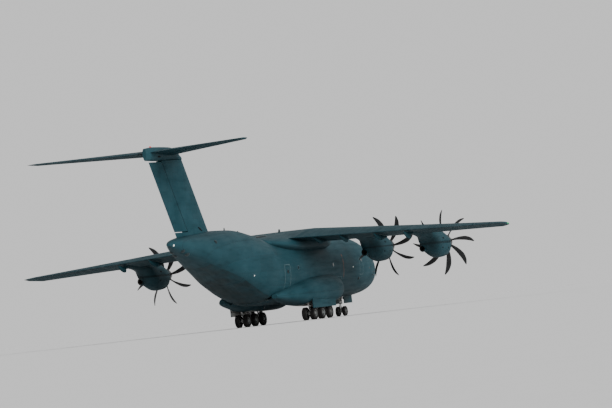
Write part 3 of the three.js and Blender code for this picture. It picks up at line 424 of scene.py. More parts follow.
def both(mesh):
    """A piece and its mirror image, as one mesh."""
    return together(mirrored(mesh), mesh)


def show(
    name, mesh, material, rides_on="airframe", instead_of=(), sharp=32, second=None,
    where=None,
):
    """Makes a mesh a shown piece that rides on a body and stands for CAD nodes. The faces that
    where picks get the second material."""
    mesh.name = name
    mesh.materials.clear()
    mesh.materials.append(material)
    mesh.shade_smooth()
    mesh.set_sharp_from_angle(angle=math.radians(sharp))
    if second:
        mesh.materials.append(second)
        for face in mesh.polygons:
            if where(face):
                face.material_index = 1
    made = bpy.data.objects.new(name, mesh)
    bpy.context.scene.collection.objects.link(made)
    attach(made, rides_on)
    if instead_of:
        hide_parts(*instead_of)
    return made


# Lifting surfaces

CHORD_POINTS = 22


def aerofoil(thick, camber, grow=0.0):
    """Shares of the chord aft and up, round from the trailing edge over the upper side."""
    upper, lower = [], []
    for k in range(CHORD_POINTS + 1):
        x = (1 + math.cos(math.pi * k / CHORD_POINTS)) / 2
        curve = 0.2969 * math.sqrt(x) - 0.126 * x - 0.3516 * x**2 + 0.2843 * x**3 - 0.1 * x**4
        half = 5 * thick * curve + grow
        line = camber * 4 * x * (1 - x)
        aft = x + (grow if k == 0 else 0) - (grow if k == CHORD_POINTS else 0)
        upper.append((aft, line + half))
        lower.append((aft, line - half))
    return upper[:-1] + [(-grow, 0.0)] + lower[-2::-1]


def span_row(table, out):
    i = max(1, next((k for k, row in enumerate(table) if row[0] >= out), len(table) - 1))
    low, high = table[i - 1], table[i]
    share = (out - low[0]) / (high[0] - low[0])
    return [a + (b - a) * share for a, b in zip(low, high)]


def foil_ring(row, to_point, grow=0.0):
    _, lead, chord, base, rise, thick, camber = row
    return [
        to_point(row[0], lead + aft * chord, base, up * chord + aft * rise)
        for aft, up in aerofoil(thick, camber, grow / chord)
    ]


def span_solid(table, inner, outer, to_point, step=0.8, grow=0.0):
    outs = sorted({inner, outer} | {row[0] for row in table if inner < row[0] < outer})
    found = [outs[0]]
    for a, b in zip(outs, outs[1:]):
        parts = max(1, round((b - a) / step))
        found += [a + (b - a) * (k + 1) / parts for k in range(parts)]
    return loft([foil_ring(span_row(table, out), to_point, grow) for out in found])


def level_point(out, s, base, up):
    return place(s, out, base + up)


def upright_point(out, s, base, up):
    return place(s, up, out)


def tip_rows(table, rows, power):
    """The table with its last stretch rounded: the leading edge curves back to the tip."""
    made = list(table[:-1])
    low, high = table[-2], table[-1]
    for k in range(1, rows + 1):
        t = k / rows
        bent = 1 - (1 - t**power) ** (1 / power)
        row = [a + (b - a) * t for a, b in zip(low, high)]
        trail_low, trail_high = low[1] + low[2], high[1] + high[2]
        row[1] = low[1] + (high[1] - low[1]) * bent
        row[2] = trail_low + (trail_high - trail_low) * bent - row[1]
        made.append(tuple(row))
    return made


class HingeFrame:
    """Axes along a hinge line: u from one end to the other, v aft and w up."""

    def __init__(self, start, end, up=Vector((0, 0, 1))):
        self.start, self.length = start, (end - start).length
        self.u = (end - start).normalized()
        v = Vector((-1, 0, 0))
        self.v = (v - self.u * v.dot(self.u)).normalized()
        self.w = self.u.cross(self.v).normalized()
        if self.w.dot(up) < 0:
            self.w = -self.w

    def at(self, u, v=0.0, w=0.0):
        return self.start + self.u * u + self.v * v + self.w * w

    def block(self, u, v, w):
        rings = [
            [self.at(a, v[0], w[0]), self.at(a, v[1], w[0]), self.at(a, v[1], w[1]),
             self.at(a, v[0], w[1])]
            for a in u
        ]
        return loft(rings)


# Reach of the blocks that cut a surface off, up and down and aft, and the room round its nose
DEEP = 2 * SCALE
FAR = 4 * SCALE
NOSE_ROOM = 1.6 * SEAM
NOSE_SIDES = 40


def hinged_surface(whole, start, end, nose_start, nose_end, spaces=None):
    """A surface on a hinge in its own round nose, and the room to cut out of its carrier."""
    hinge = HingeFrame(start, end, spaces["up"] if spaces else Vector((0, 0, 1)))
    gap = SEAM * SCALE
    over = 2 * SCALE if spaces else 0
    low, high = -over, hinge.length + over

    def nose_at(u):
        return nose_start + (nose_end - nose_start) * u / hinge.length

    nose = bar(hinge.at(low), hinge.at(high), nose_at(low), NOSE_SIDES, nose_at(high))
    aft = hinge.block((low, high), (0, FAR), (-DEEP, DEEP))
    clear = bar(
        hinge.at(low - gap),
        hinge.at(high + gap),
        nose_at(low - gap) + NOSE_ROOM,
        NOSE_SIDES,
        nose_at(high + gap) + NOSE_ROOM,
    )
    room = hinge.block((low - gap, high + gap), (0, FAR), (-DEEP, DEEP))
    surface = common(whole.copy(), join(nose, aft))
    removed = join(clear, room)
    if spaces:
        surface = common(surface, spaces["surface"])
        removed = common(removed, spaces["removed"])
    return surface, removed


# Materials


class Look:
    """One node material. Its methods add nodes and give their output sockets back."""

    def __init__(self, name):
        self.material = bpy.data.materials.new(name)
        self.material.use_nodes = True
        self.nodes = self.material.node_tree.nodes
        self.links = self.material.node_tree.links
        self.shader = self.nodes["Principled BSDF"]

    def put(self, socket, value):
        if isinstance(value, bpy.types.NodeSocket):
            self.links.new(value, socket)
        else:
            socket.default_value = value

    def node(self, kind, values, output=0, **settings):
        made = self.nodes.new(kind)
        for key, value in settings.items():
            setattr(made, key, value)
        for key, value in values.items():
            self.put(made.inputs[key], value)
        return made.outputs[output]

    def place(self):
        return self.node("ShaderNodeTexCoord", {}, "Object")

    def parts(self):
        return self.node("ShaderNodeSeparateXYZ", {0: self.place()}).node.outputs

    def math(self, operation, a, b=0.0, c=0.0):
        return self.node("ShaderNodeMath", {0: a, 1: b, 2: c}, operation=operation)

    def vector(self, x, y):
        return self.node("ShaderNodeCombineXYZ", {0: x, 1: y})

    def stretched(self, scale):
        return self.node("ShaderNodeMapping", {"Vector": self.place(), "Scale": scale})

    def noise(self, at, scale, detail=4.0, rough=0.55):
        values = {"Vector": at, "Scale": scale, "Detail": detail, "Roughness": rough}
        return self.node("ShaderNodeTexNoise", values, "Fac")

    def cells(self, at, scale, **fixed):
        values = {"Vector": at, "Scale": scale, **fixed}
        return self.node("ShaderNodeTexVoronoi", values, "Distance")

    def bricks(self, at, width, height, mortar, offset=0.5, **fixed):
        """Oblong panels with lines between them, and the outputs of their node."""
        values = {"Vector": at, "Scale": 1.0, "Mortar Size": mortar}
        values |= {"Brick Width": width, "Row Height": height}
        values |= {key.replace("_", " "): value for key, value in fixed.items()}
        return self.node("ShaderNodeTexBrick", values, offset=offset).node.outputs

    def fit(self, value, low, high, to_low=0.0, to_high=1.0):
        values = {0: value, 1: low, 2: high, 3: to_low, 4: to_high}
        return self.node("ShaderNodeMapRange", values, interpolation_type="SMOOTHSTEP")

    def mix(self, share, first, second):
        values = {0: share, 6: first, 7: second}
        return self.node("ShaderNodeMix", values, 2, data_type="RGBA")

    def multiply(self, colour, other):
        values = {0: 1.0, 6: colour, 7: other}
        return self.node("ShaderNodeMix", values, 2, data_type="RGBA", blend_type="MULTIPLY")

    def bump(self, height, strength, distance, below=None):
        values = {"Height": height, "Strength": strength, "Distance": distance}
        if below is not None:
            values["Normal"] = below
        return self.node("ShaderNodeBump", values)

    def finish(self, colour, rough, normal=None, **fixed):
        self.put(self.shader.inputs["Base Color"], colour)
        self.put(self.shader.inputs["Roughness"], rough)
        if normal is not None:
            self.put(self.shader.inputs["Normal"], normal)
        for key, value in fixed.items():
            self.shader.inputs[key.replace("_", " ")].default_value = value
        return self.material


def grey(value):
    return (value, value, value, 1)


def tint(r, g, b):
    return (r, g, b, 1)


PAINT = tint(0.0092, 0.036, 0.046)
PAINT_WORN = tint(0.0138, 0.0445, 0.0555)
# Painted shade: a darker, greyer copy of the paint for the underside, where shade falls
BELLY_SHADE = tint(0.0085, 0.0205, 0.0235)
GRIME = tint(0.005, 0.011, 0.013)
STRIPE = tint(0.22, 0.07, 0.03)
STRIPE_X = (LENGTH / 2 - 10.45) * SCALE
# Specular levels: the paint is matt, and flat surfaces are seen edge on, where gloss shows most
ROUND_SHINE = 0.14
FLAT_SHINE = 0.07
BELLY_SHINE = 0.16
FLAT_RELIEF = 0.35


def panel_pattern(look, along, across, width, height):
    """Panel lines, a tone for each panel, and fastener rows beside the lines."""
    at = look.vector(along, across)
    tones = {"Color1": grey(0.86), "Color2": grey(1.0), "Mortar": grey(0.45)}
    panels = look.bricks(at, width, height, mortar=0.0035, Mortar_Smooth=0.15, **tones)
    strips = look.bricks(at, width, height, mortar=0.022, Mortar_Smooth=0.0)
    dots = look.cells(at, 32.0, Randomness=0.0)
    rivets = look.math("MULTIPLY", look.fit(dots, 0.16, 0.26, 1, 0), strips["Fac"])
    return panels["Color"], panels["Fac"], rivets


def weathered(look, base, worn, panels, streak_scale=(0.5, 3.2, 3.2), relief=1.0):
    """Aged paint: tone from panel to panel, streaks along the airflow, and fine dirt."""
    tone, lines, rivets = panels
    cloud = look.noise(look.place(), 1.1, 5)
    streak = look.noise(look.stretched(streak_scale), 1.6, 6, 0.6)
    fine = look.noise(look.place(), 34, 3)
    colour = look.mix(look.fit(cloud, 0.35, 0.7), base, worn)
    colour = look.mix(look.fit(streak, 0.5, 0.78, 0, 0.4), colour, GRIME)
    colour = look.multiply(colour, tone)
    gloss = look.fit(streak, 0.3, 0.75, 0.6, 0.74)
    rough = look.math("ADD", gloss, look.fit(fine, 0, 1, -0.05, 0.05))
    height = look.math("SUBTRACT", look.math("MULTIPLY", rivets, 0.5), lines)
    normal = look.bump(height, 0.4 * relief, 0.003)
    wave = look.noise(look.stretched((0.8, 1.6, 1.6)), 2.2, 2)
    normal = look.bump(wave, 0.06 * relief, 0.006, normal)
    normal = look.bump(fine, 0.03 * relief, 0.0006, normal)
    return colour, rough, normal


def wrapped(name, base=PAINT, worn=PAINT_WORN, radius=1.4, middle=2.15, width=1.15, height=0.62):
    """The look, colour, roughness and relief of a long round body, with panels round it."""
    look = Look(name)
    x, y, z = look.parts()
    angle = look.math("ARCTAN2", look.math("SUBTRACT", z, middle), look.math("ABSOLUTE", y))
    around = look.math("MULTIPLY", angle, radius)
    return look, *weathered(look, base, worn, panel_pattern(look, x, around, width, height))


def round_paint(name, shine=ROUND_SHINE, **kinds):
    look, colour, rough, normal = wrapped(name, **kinds)
    return look.finish(colour, rough, normal, Specular_IOR_Level=shine)


def fuselage_paint():
    look, colour, rough, normal = wrapped("fuselage_paint")
    x, y, z = look.parts()
    # Painted shade under the belly: darker towards the bottom, more so in streaks of oil and dust
    # blown aft
    low = look.fit(z, 0.78, 1.25, 1, 0)
    oil = look.noise(look.stretched((0.25, 5, 5)), 2.4, 5, 0.65)
    dirt_and_shade = look.math("MULTIPLY", low, look.fit(oil, 0.35, 0.7, 0.25, 0.9))
    colour = look.mix(dirt_and_shade, colour, BELLY_SHADE)
    # The worn stripe in the plane of the inner propellers
    off = look.math("ABSOLUTE", look.math("SUBTRACT", x, STRIPE_X))
    edge = look.fit(off, 0.012, 0.018, 1, 0)
    tall = look.math("MULTIPLY", look.fit(z, 1.58, 1.64), look.fit(z, 2.55, 2.62, 1, 0))
    patchy = look.fit(look.noise(look.place(), 9, 4), 0.36, 0.52, 0.25, 1)
    stripe = look.math("MULTIPLY", look.math("MULTIPLY", edge, tall), patchy)
    colour = look.mix(stripe, colour, STRIPE)
    return look.finish(colour, rough, normal, Specular_IOR_Level=ROUND_SHINE)


def flat_paint(name, along, width, height, darker=1.0):
    """Paint of a lifting surface, whose panels lie along y or z and across x."""
    look = Look(name)
    axes = dict(zip("xyz", look.parts()))
    panels = panel_pattern(look, axes[along], axes["x"], width, height)
    colour, rough, normal = weathered(look, PAINT, PAINT_WORN, panels, (0.5, 4, 2), FLAT_RELIEF)
    if darker != 1.0:
        colour = look.multiply(colour, grey(darker))
    return look.finish(colour, rough, normal, Specular_IOR_Level=FLAT_SHINE)


def nacelle_paint(engine):
    """Paint of one engine housing, with soot behind its exhaust."""
    look, colour, rough, normal = wrapped(
        f"nacelle_paint_{engine['number']}",
        radius=0.45,
        middle=engine["z"] * SCALE,
        width=0.62,
        height=0.3,
    )
    x, y, z = look.parts()
    beside = math.copysign(0.66, engine["y"])
    spot = place(engine["s"] + 3.9, engine["y"] + beside, engine["z"] - 0.3)
    aft = look.fit(look.math("SUBTRACT", spot.x, x), -0.5, 0.2)
    dy = look.math("SUBTRACT", y, spot.y)
    dz = look.math("SUBTRACT", z, spot.z + 0.1)
    squares = [look.math("MULTIPLY", d, d) for d in (dy, dz)]
    off = look.math("SQRT", look.math("ADD", *squares))
    blown = look.noise(look.stretched((0.6, 3, 3)), 2.5, 5, 0.6)
    near = look.math("MULTIPLY", aft, look.fit(off, 0.1, 0.5, 0.8, 0))
    soot = look.math("MULTIPLY", near, look.fit(blown, 0.25, 0.7, 0.35, 1))
    colour = look.mix(soot, colour, GRIME)
    return look.finish(colour, rough, normal, Specular_IOR_Level=ROUND_SHINE)


def grained(name, base, other, rough, scale=18.0, bump=0.15, distance=0.003, **fixed):
    """A plain finish with grain: two tones, uneven gloss and a fine bump."""
    look = Look(name)
    grain = look.noise(look.place(), scale, 6, 0.6)
    broad = look.noise(look.place(), scale * 0.12, 3)
    colour = look.mix(look.fit(look.math("ADD", grain, broad), 0.75, 1.25), base, other)
    gloss = look.fit(grain, 0.3, 0.7, max(0.02, rough - 0.1), min(1.0, rough + 0.1))
    return look.finish(colour, gloss, look.bump(grain, bump, distance), **fixed)


def rubber():
    """Tyre rubber, greyer where it has rolled."""
    look = Look("tyre_rubber")
    grain = look.noise(look.place(), 60, 5, 0.6)
    broad = look.fit(look.noise(look.place(), 5, 4), 0.35, 0.7)
    colour = look.mix(broad, tint(0.006, 0.006, 0.0065), tint(0.017, 0.016, 0.015))
    rough = look.fit(grain, 0.3, 0.7, 0.72, 0.92)
    return look.finish(colour, rough, look.bump(grain, 0.25, 0.0025), Specular_IOR_Level=0.15)


def glazing():
    look = Look("cockpit_glass")
    film = look.noise(look.place(), 7, 4)
    colour = look.mix(look.fit(film, 0.3, 0.7), tint(0.02, 0.03, 0.033), tint(0.03, 0.042, 0.045))
    rough = look.fit(film, 0.3, 0.8, 0.03, 0.09)
    ripple = look.bump(look.noise(look.place(), 3, 2), 0.03, 0.004)
    return look.finish(colour, rough, ripple, Transmission_Weight=0.35, IOR=1.5)


def lamp_glass(name, colour, glow):
    look = Look(name)
    cells = look.cells(look.place(), 90.0)
    shade = look.mix(look.fit(cells, 0.1, 0.6), colour, tint(*[c * 0.6 for c in colour[:3]]))
    fixed = {"Emission_Color": colour, "Emission_Strength": glow, "Coat_Weight": 0.5}
    rough = look.fit(cells, 0, 0.7, 0.08, 0.2)
    return look.finish(shade, rough, look.bump(cells, 0.25, 0.002), **fixed)


def hold_paint(name, base, other, ribs):
    """Interior paint: light grey-green, scuffed, with pressed ribs across the length."""
    look = Look(name)
    x, y, z = look.parts()
    wear = look.noise(look.stretched((1, 2, 2)), 6, 6, 0.6)
    colour = look.mix(look.fit(wear, 0.38, 0.62), base, other)
    scuff = look.noise(look.stretched((4, 20, 20)), 4, 4)
    colour = look.mix(look.fit(scuff, 0.62, 0.8, 0, 0.7), colour, tint(0.06, 0.06, 0.055))
    wave = look.math("SINE", look.math("MULTIPLY", x, ribs))
    normal = look.bump(look.fit(wave, 0.6, 0.9), 0.35, 0.006)
    normal = look.bump(wear, 0.08, 0.003, normal)
    return look.finish(colour, look.fit(wear, 0.3, 0.7, 0.5, 0.75), normal)


PIT_SPACING = 0.26


def deck_metal():
    """Cargo deck: worn metal plates with tie-down pits and a fine anti-slip grain."""
    look = Look("cargo_deck")
    x, y, z = look.parts()
    at = look.vector(x, y)
    pit = look.fit(look.cells(at, 1 / PIT_SPACING, Randomness=0.0), 0.1, 0.13, 1, 0)
    seams = look.bricks(at, width=1.2, height=0.46, mortar=0.004)["Fac"]
    wear = look.noise(look.stretched((0.7, 3, 1)), 4, 6, 0.62)
    colour = look.mix(look.fit(wear, 0.35, 0.65), tint(0.13, 0.135, 0.13), tint(0.25, 0.25, 0.24))
    # Painted shade: the tie-down pits are coloured near black, as shade falls in them
    colour = look.mix(pit, colour, tint(0.03, 0.03, 0.03))
    colour = look.mix(seams, colour, tint(0.04, 0.04, 0.04))
    normal = look.bump(look.math("ADD", pit, seams), -0.5, 0.008)
    normal = look.bump(look.noise(look.place(), 120, 2), 0.2, 0.0015, normal)
    return look.finish(colour, look.fit(wear, 0.3, 0.7, 0.38, 0.62), normal, Metallic=0.6)


def panel_face():
    """Instrument panel: dark crackle paint with rows of small pale keys."""
    look = Look("instrument_paint")
    x, y, z = look.parts()
    at = look.vector(y, z)
    gaps = look.bricks(at, width=0.05, height=0.035, mortar=0.008, offset=0.0)["Fac"]
    rows = look.fit(look.noise(at, 4, 1), 0.5, 0.52)
    shade = look.mix(rows, tint(0.015, 0.016, 0.018), tint(0.09, 0.1, 0.1))
    colour = look.mix(gaps, shade, tint(0.01, 0.01, 0.011))
    crackle = look.noise(look.place(), 80, 4)
    normal = look.bump(look.math("ADD", gaps, crackle), 0.3, 0.003)
    return look.finish(colour, look.fit(crackle, 0.3, 0.7, 0.5, 0.75), normal)


SKIN = fuselage_paint()
FAIRING_SKIN = round_paint("fairing_paint", middle=3.0)
SPONSON_SKIN = round_paint("sponson_paint", middle=1.1, radius=1.0, width=0.9, height=0.4)
# Painted shade: paint for the undersides, made from the dark belly colour, on the ramp, the cargo
# door and the nose gear doors
SHADED_BELLY_SKIN = round_paint(
    "shaded_belly_paint", BELLY_SHINE, base=BELLY_SHADE, worn=PAINT, width=0.8, height=0.45
)
WING_SKIN = flat_paint("wing_paint", "y", width=1.3, height=0.5)
FLAP_SKIN = flat_paint("flap_paint", "y", width=0.9, height=0.6, darker=0.92)
TAIL_SKIN = flat_paint("tail_paint", "y", width=0.8, height=0.45, darker=0.95)
FIN_SKIN = flat_paint("fin_paint", "z", width=0.75, height=0.5)
NACELLE_SKINS = {engine["number"]: nacelle_paint(engine) for engine in ENGINES}
BLACK = grained(
    "blade_black", tint(0.0045, 0.005, 0.0055), tint(0.009, 0.0095, 0.01), rough=0.5, scale=26,
    bump=0.08, distance=0.001, Specular_IOR_Level=0.25,
)
# Partly painted highlight: the blades' metal leading-edge strips, made pale to stand for the glint
# along them
EDGE_METAL_HIGHLIGHT = grained(
    "blade_edge_highlight", tint(0.16, 0.165, 0.165), tint(0.24, 0.24, 0.235), rough=0.42, scale=40,
    Metallic=0.6,
)
SPINNER_SKIN = grained(
    "spinner_paint", tint(0.006, 0.012, 0.014), tint(0.011, 0.02, 0.023), rough=0.42, scale=9,
    bump=0.06, distance=0.0015, Specular_IOR_Level=0.3,
)
TYRE = rubber()
RIM = grained(
    "rim_paint", tint(0.12, 0.13, 0.13), tint(0.07, 0.07, 0.066), rough=0.5, scale=14,
    Metallic=0.2,
)
STRUT = grained(
    "strut_enamel", tint(0.3, 0.31, 0.3), tint(0.2, 0.2, 0.19), rough=0.45, scale=10, bump=0.1
)
CHROME = grained(
    "piston_chrome", tint(0.72, 0.73, 0.74), grey(0.6), rough=0.12, scale=30, bump=0.03,
    Metallic=1.0,
)
STEEL = grained("bare_steel", grey(0.2), grey(0.1), rough=0.42, scale=22, Metallic=0.85)
HOT_STEEL = grained(
    "exhaust_steel", tint(0.09, 0.07, 0.055), tint(0.03, 0.03, 0.032), rough=0.5, scale=12,
    bump=0.2, Metallic=0.8,
)
# Painted shade: a near black for the insides of vents and slots, laid on as thin ovals
HOLLOW_SHADE = grained(
    "painted_hollow_shade", tint(0.002, 0.002, 0.0025), grey(0.005), rough=0.8, scale=20,
    Specular_IOR_Level=0.1,
)
SEAL = grained("seal_rubber", grey(0.01), grey(0.025), rough=0.75, scale=50)
GLASS = glazing()
INSIDE = hold_paint("hold_lining", tint(0.3, 0.32, 0.29), tint(0.24, 0.26, 0.24), ribs=25.0)
DECK = deck_metal()
COCKPIT = hold_paint("cockpit_paint", tint(0.1, 0.11, 0.11), tint(0.06, 0.065, 0.065), ribs=60.0)
PANEL = panel_face()
RED_LAMP = lamp_glass("red_lamp", tint(0.5, 0.02, 0.015), glow=0.6)
GREEN_LAMP = lamp_glass("green_lamp", tint(0.02, 0.4, 0.1), glow=0.6)
WHITE_LAMP = lamp_glass("white_lamp", tint(0.75, 0.76, 0.72), glow=0.3)
WINDOW_DARK = grained(
    "dark_window", tint(0.006, 0.01, 0.012), tint(0.012, 0.018, 0.02), rough=0.12, scale=6,
    bump=0.02, Coat_Weight=0.4,
)
PAINT_METAL = grained("frame_paint", PAINT, PAINT_WORN, rough=0.45, scale=12)
WORN_EDGE = grained(
    "worn_edge_paint", tint(0.045, 0.085, 0.093), tint(0.1, 0.15, 0.155), rough=0.62, scale=30
)


# Fuselage: one hull, cut into its three shells and its doors

HOLD_END_S = 36.2
CREW_DOOR = {"s0": 5.75, "s1": 6.75, "z0": 2.36, "z1": 4.3}
TROOP_DOOR = {"s0": 22.45, "s1": 23.5, "z0": 2.5, "z1": 4.6}
NOSE_BAY = {"s0": 3.7, "s1": 5.6, "half": 0.62, "top": 1.95}
# The ramp's lip turns under the hull's floor: its radius, the depths below the floor where it
# and the room for it in the hull begin, and how far behind the hinge its front edge is cut
RAMP_LIP_RADIUS = 0.45
LIP_DEPTH = 0.3
RAMP_ROOM_DEPTH = 0.08
TOE_LENGTH = 0.22
DOOR_CORNER = 0.14
# Cockpit panes of the port side: station and angle round the section, in degrees, of each corner
PANES = [
    [(1.95, 87), (2.74, 87.5), (2.98, 62), (2.12, 55)],
    [(2.16, 52), (3.05, 59), (3.5, 43), (2.72, 29)],
    [(2.84, 27), (3.6, 41), (4.3, 39), (3.95, 24)],
]
section = smooth_table(FUSELAGE)


def faces_inwards(face):
    """Whether a face of a hull's wall looks towards its middle line."""
    middle = section(LENGTH / 2 - face.center.x / SCALE)["mid"] * SCALE
    across = Vector((0, face.center.y, face.center.z - middle))
    return face.normal.dot(across) < 0 and abs(face.normal.x) < 0.6


def rounded(corners, share=0.16, steps=5):
    """An outline with its corners rounded off, each over a share of the sides beside it."""
    made = []
    for k, corner in enumerate(corners):
        before, after = corners[k - 1], corners[(k + 1) % len(corners)]
        start = [c + (b - c) * share for c, b in zip(corner, before)]
        end = [c + (a - c) * share for c, a in zip(corner, after)]
        ends = list(zip(start, corner, end))
        for t in [n / steps for n in range(steps + 1)]:
            made.append(
                tuple((1 - t) ** 2 * a + 2 * t * (1 - t) * c + t * t * b for a, c, b in ends)
            )
    return made


def on_hull(s, degrees, grow=0.0):
    return section_point(section(s), math.radians(degrees), grow)


def pane_cutter(corners, shrink, inner, outer):
    """A block through the hull's wall in the outline of a cockpit pane."""
    square = [on_hull(*corner) for corner in corners]
    normal = (square[2] - square[0]).cross(square[3] - square[1]).normalized()
    if normal.y < 0:
        normal = -normal
    middle = sum(square, Vector()) / 4
    rings = []
    for depth in (-inner, outer):
        ring = []
        for point in [on_hull(*corner) for corner in rounded(corners)]:
            inwards = (middle - point).normalized()
            ring.append(point + inwards * (shrink * SCALE) + normal * (depth * SCALE))
        rings.append(ring)
    return loft(rings)


def opening(door, grow):
    """A block through the port wall in a door's outline, with round corners."""
    s0, s1, z0, z1 = door["s0"] - grow, door["s1"] + grow, door["z0"] - grow, door["z1"] + grow
    r = DOOR_CORNER + grow
    fore, aft, low, high = s0 + r, s1 - r, z0 + r, z1 - r
    outline = []
    for s, z, first in ((aft, high, 0), (fore, high, 90), (fore, low, 180), (aft, low, 270)):
        for a in [math.radians(first + 15 * k) for k in range(7)]:
            outline.append((s + r * math.cos(a), z + r * math.sin(a)))
    return side_prism(outline, 1, 3)


def tapered_block(front, back, z0, z1):
    """A block whose half width changes from one station to the other: each is (s, half)."""
    rings = [
        [place(s, -half, z0), place(s, half, z0), place(s, half, z1), place(s, -half, z1)]
        for s, half in (front, back)
    ]
    return loft(rings)


nose_shell = cut(
    body(FUSELAGE, 0, NOSE_JOINT_S, step=0.16),
    body(FUSELAGE, 0.95, NOSE_JOINT_S + 0.5, -WALL, step=0.2),
    opening(CREW_DOOR, SEAM),
    box(NOSE_BAY["s0"], NOSE_BAY["s1"], -NOSE_BAY["half"], NOSE_BAY["half"], 1, NOSE_BAY["top"]),
)
for corners in PANES:
    pane = pane_cutter(corners, shrink=0, inner=0.5, outer=0.4)
    nose_shell = cut(nose_shell, mirrored(pane), pane)


def show_shell(part, mesh):
    show(
        f"{part}_shell", mesh, SKIN, instead_of=[f"{part}_fuselage"],
        second=INSIDE, where=faces_inwards,
    )


show_shell("nose", nose_shell)


def around_ramp_hinge(radius, half_width):
    start = place(RAMP_HINGE_S, -half_width, FLOOR_TOP)
    return bar(start, place(RAMP_HINGE_S, half_width, FLOOR_TOP), radius, 64)


centre_shell = cut(
    body(FUSELAGE, NOSE_JOINT_S + FIT, TAIL_JOINT_S),
    body(FUSELAGE, NOSE_JOINT_S - 0.5, TAIL_JOINT_S + 0.5, -WALL),
    common(
        around_ramp_hinge(RAMP_LIP_RADIUS + 0.02, RAMP_HALF_WIDTH + SEAM),
        box(RAMP_HINGE_S - 1, RAMP_HINGE_S, -3, 3, 1, FLOOR_TOP - RAMP_ROOM_DEPTH),
    ),
    opening(TROOP_DOOR, SEAM),
    mirrored(opening(TROOP_DOOR, SEAM)),
)
show_shell("centre", centre_shell)

widest = RAMP_HALF_WIDTH + SEAM
door_end = (DOOR_END_S + SEAM, DOOR_END_HALF_WIDTH + SEAM)
rear_opening = join(
    box(TAIL_JOINT_S - 0.2, RAMP_END_S + 0.1, -widest, widest, 0.5, DOOR_TOP + SEAM),
    tapered_block((RAMP_END_S, widest), door_end, 0.5, DOOR_TOP + SEAM),
)
rear_shell = cut(
    body(FUSELAGE, TAIL_JOINT_S + FIT, CONE_END_S),
    body(FUSELAGE, TAIL_JOINT_S - 0.5, HOLD_END_S, -WALL),
    rear_opening,
)
show_shell("rear", rear_shell)


def door_panel(door, start, end):
    inner = body(FUSELAGE, start - 0.1, end + 0.1, -WALL * 0.8)
    return common(cut(body(FUSELAGE, start, end, step=0.15), inner), opening(door, 0))


# Crew door with its steps, and the troop doors with a window each
crew_door = door_panel(CREW_DOOR, 5.2, 7.2)
STEP_COUNT = 5
for i in range(STEP_COUNT):
    z = CREW_DOOR["z0"] + 0.2 + i * (CREW_DOOR["z1"] - CREW_DOOR["z0"] - 0.3) / STEP_COUNT
    wall = section(6.2)
    below = max(0.0, (wall["mid"] - z) / (wall["mid"] - wall["bottom"]))
    y = wall["half"] * (1 - below ** wall["square"]) ** (1 / wall["square"])
    tread = box(CREW_DOOR["s0"] + 0.15, CREW_DOOR["s1"] - 0.15, y - 0.36, y - 0.05, z, z + 0.04)
    crew_door = join(crew_door, tread)
show(
    "crew_door_panel", crew_door, SKIN, "crew_door", ["crew_door"], second=INSIDE,
    where=lambda face: faces_inwards(face) or abs(face.normal.z) > 0.9,
)

WINDOW_RADIUS = 0.15


def window_bar(radius, y0=2, y1=3):
    """A bar across the middle of the troop door's window."""
    return bar(place(22.95, y0, 4.1), place(22.95, y1, 4.1), radius, 40)


troop_door = cut(door_panel(TROOP_DOOR, 21.9, 24.0), window_bar(WINDOW_RADIUS))
troop_frame = cut(
    window_bar(WINDOW_RADIUS - 0.002, 2.6, 2.835),
    window_bar(WINDOW_RADIUS - 0.03, 2.5, 2.9),
)
troop_glass = window_bar(WINDOW_RADIUS - 0.03, 2.72, 2.78)
for side, turned in SIDES:
    show(
        f"troop_door_panel_{side}", turned(troop_door), SKIN, instead_of=[f"troop_door_{side}"],
        second=INSIDE, where=faces_inwards,
    )
    show(f"troop_window_frame_{side}", turned(troop_frame), SEAL)
    show(f"troop_window_{side}", turned(troop_glass), GLASS)

# Loading ramp, with its lip ahead of the hinge, and the cargo door behind it
rear_hull = body(FUSELAGE, 24, 36)
ramp_side = [
    (RAMP_HINGE_S, FLOOR_TOP),
    RAMP_FLOOR_END,
    (RAMP_END_S, 3.55),
    (RAMP_END_S, 1),
    (RAMP_HINGE_S + 1.05, 1),
]
ramp = common(rear_hull.copy(), side_prism(ramp_side, -RAMP_HALF_WIDTH, RAMP_HALF_WIDTH))
lip_space = common(
    join(
        around_ramp_hinge(RAMP_LIP_RADIUS, RAMP_HALF_WIDTH),
        box(RAMP_HINGE_S, RAMP_HINGE_S + 0.6, -RAMP_HALF_WIDTH, RAMP_HALF_WIDTH, 1, 3),
    ),
    box(RAMP_HINGE_S - 0.2, RAMP_HINGE_S + 0.6, -2, 2, 1, FLOOR_TOP - LIP_DEPTH),
)
lip = common(cut(rear_hull.copy(), body(FUSELAGE, 23, 37, grow=-0.09)), lip_space)
end_skin = common(
    cut(rear_hull.copy(), body(FUSELAGE, 23, 37, grow=-0.06)),
    box(29.6, RAMP_END_S, -RAMP_HALF_WIDTH, RAMP_HALF_WIDTH, 1, 4.2),
)
# Room under the hinge, for the ramp's front edge to swing forward under the hull
toe = cut(
    box(RAMP_HINGE_S - 0.3, RAMP_HINGE_S + TOE_LENGTH, -2.1, 2.1, 1, FLOOR_TOP - LIP_DEPTH),
    around_ramp_hinge(RAMP_LIP_RADIUS, 2.1),
)
# The ramp's outside carries the painted shade of the belly
show(
    "ramp_panel", cut(join(ramp, lip, end_skin), toe), SHADED_BELLY_SKIN, "loading_ramp",
    ["loading_ramp"], second=DECK, where=lambda face: face.normal.z > 0.8,
)


cargo_door = common(
    cut(rear_hull, body(FUSELAGE, 26, 38, grow=-0.2)),
    tapered_block(
        (RAMP_END_S + 0.035, RAMP_HALF_WIDTH), (DOOR_END_S, DOOR_END_HALF_WIDTH), 1, DOOR_TOP
    ),
)
# The cargo door's outside carries the painted shade of the belly
show(
    "cargo_door_panel", cargo_door, SHADED_BELLY_SKIN, "cargo_door", ["cargo_door"],
    second=INSIDE, where=lambda face: face.normal.z > 0.5,
)

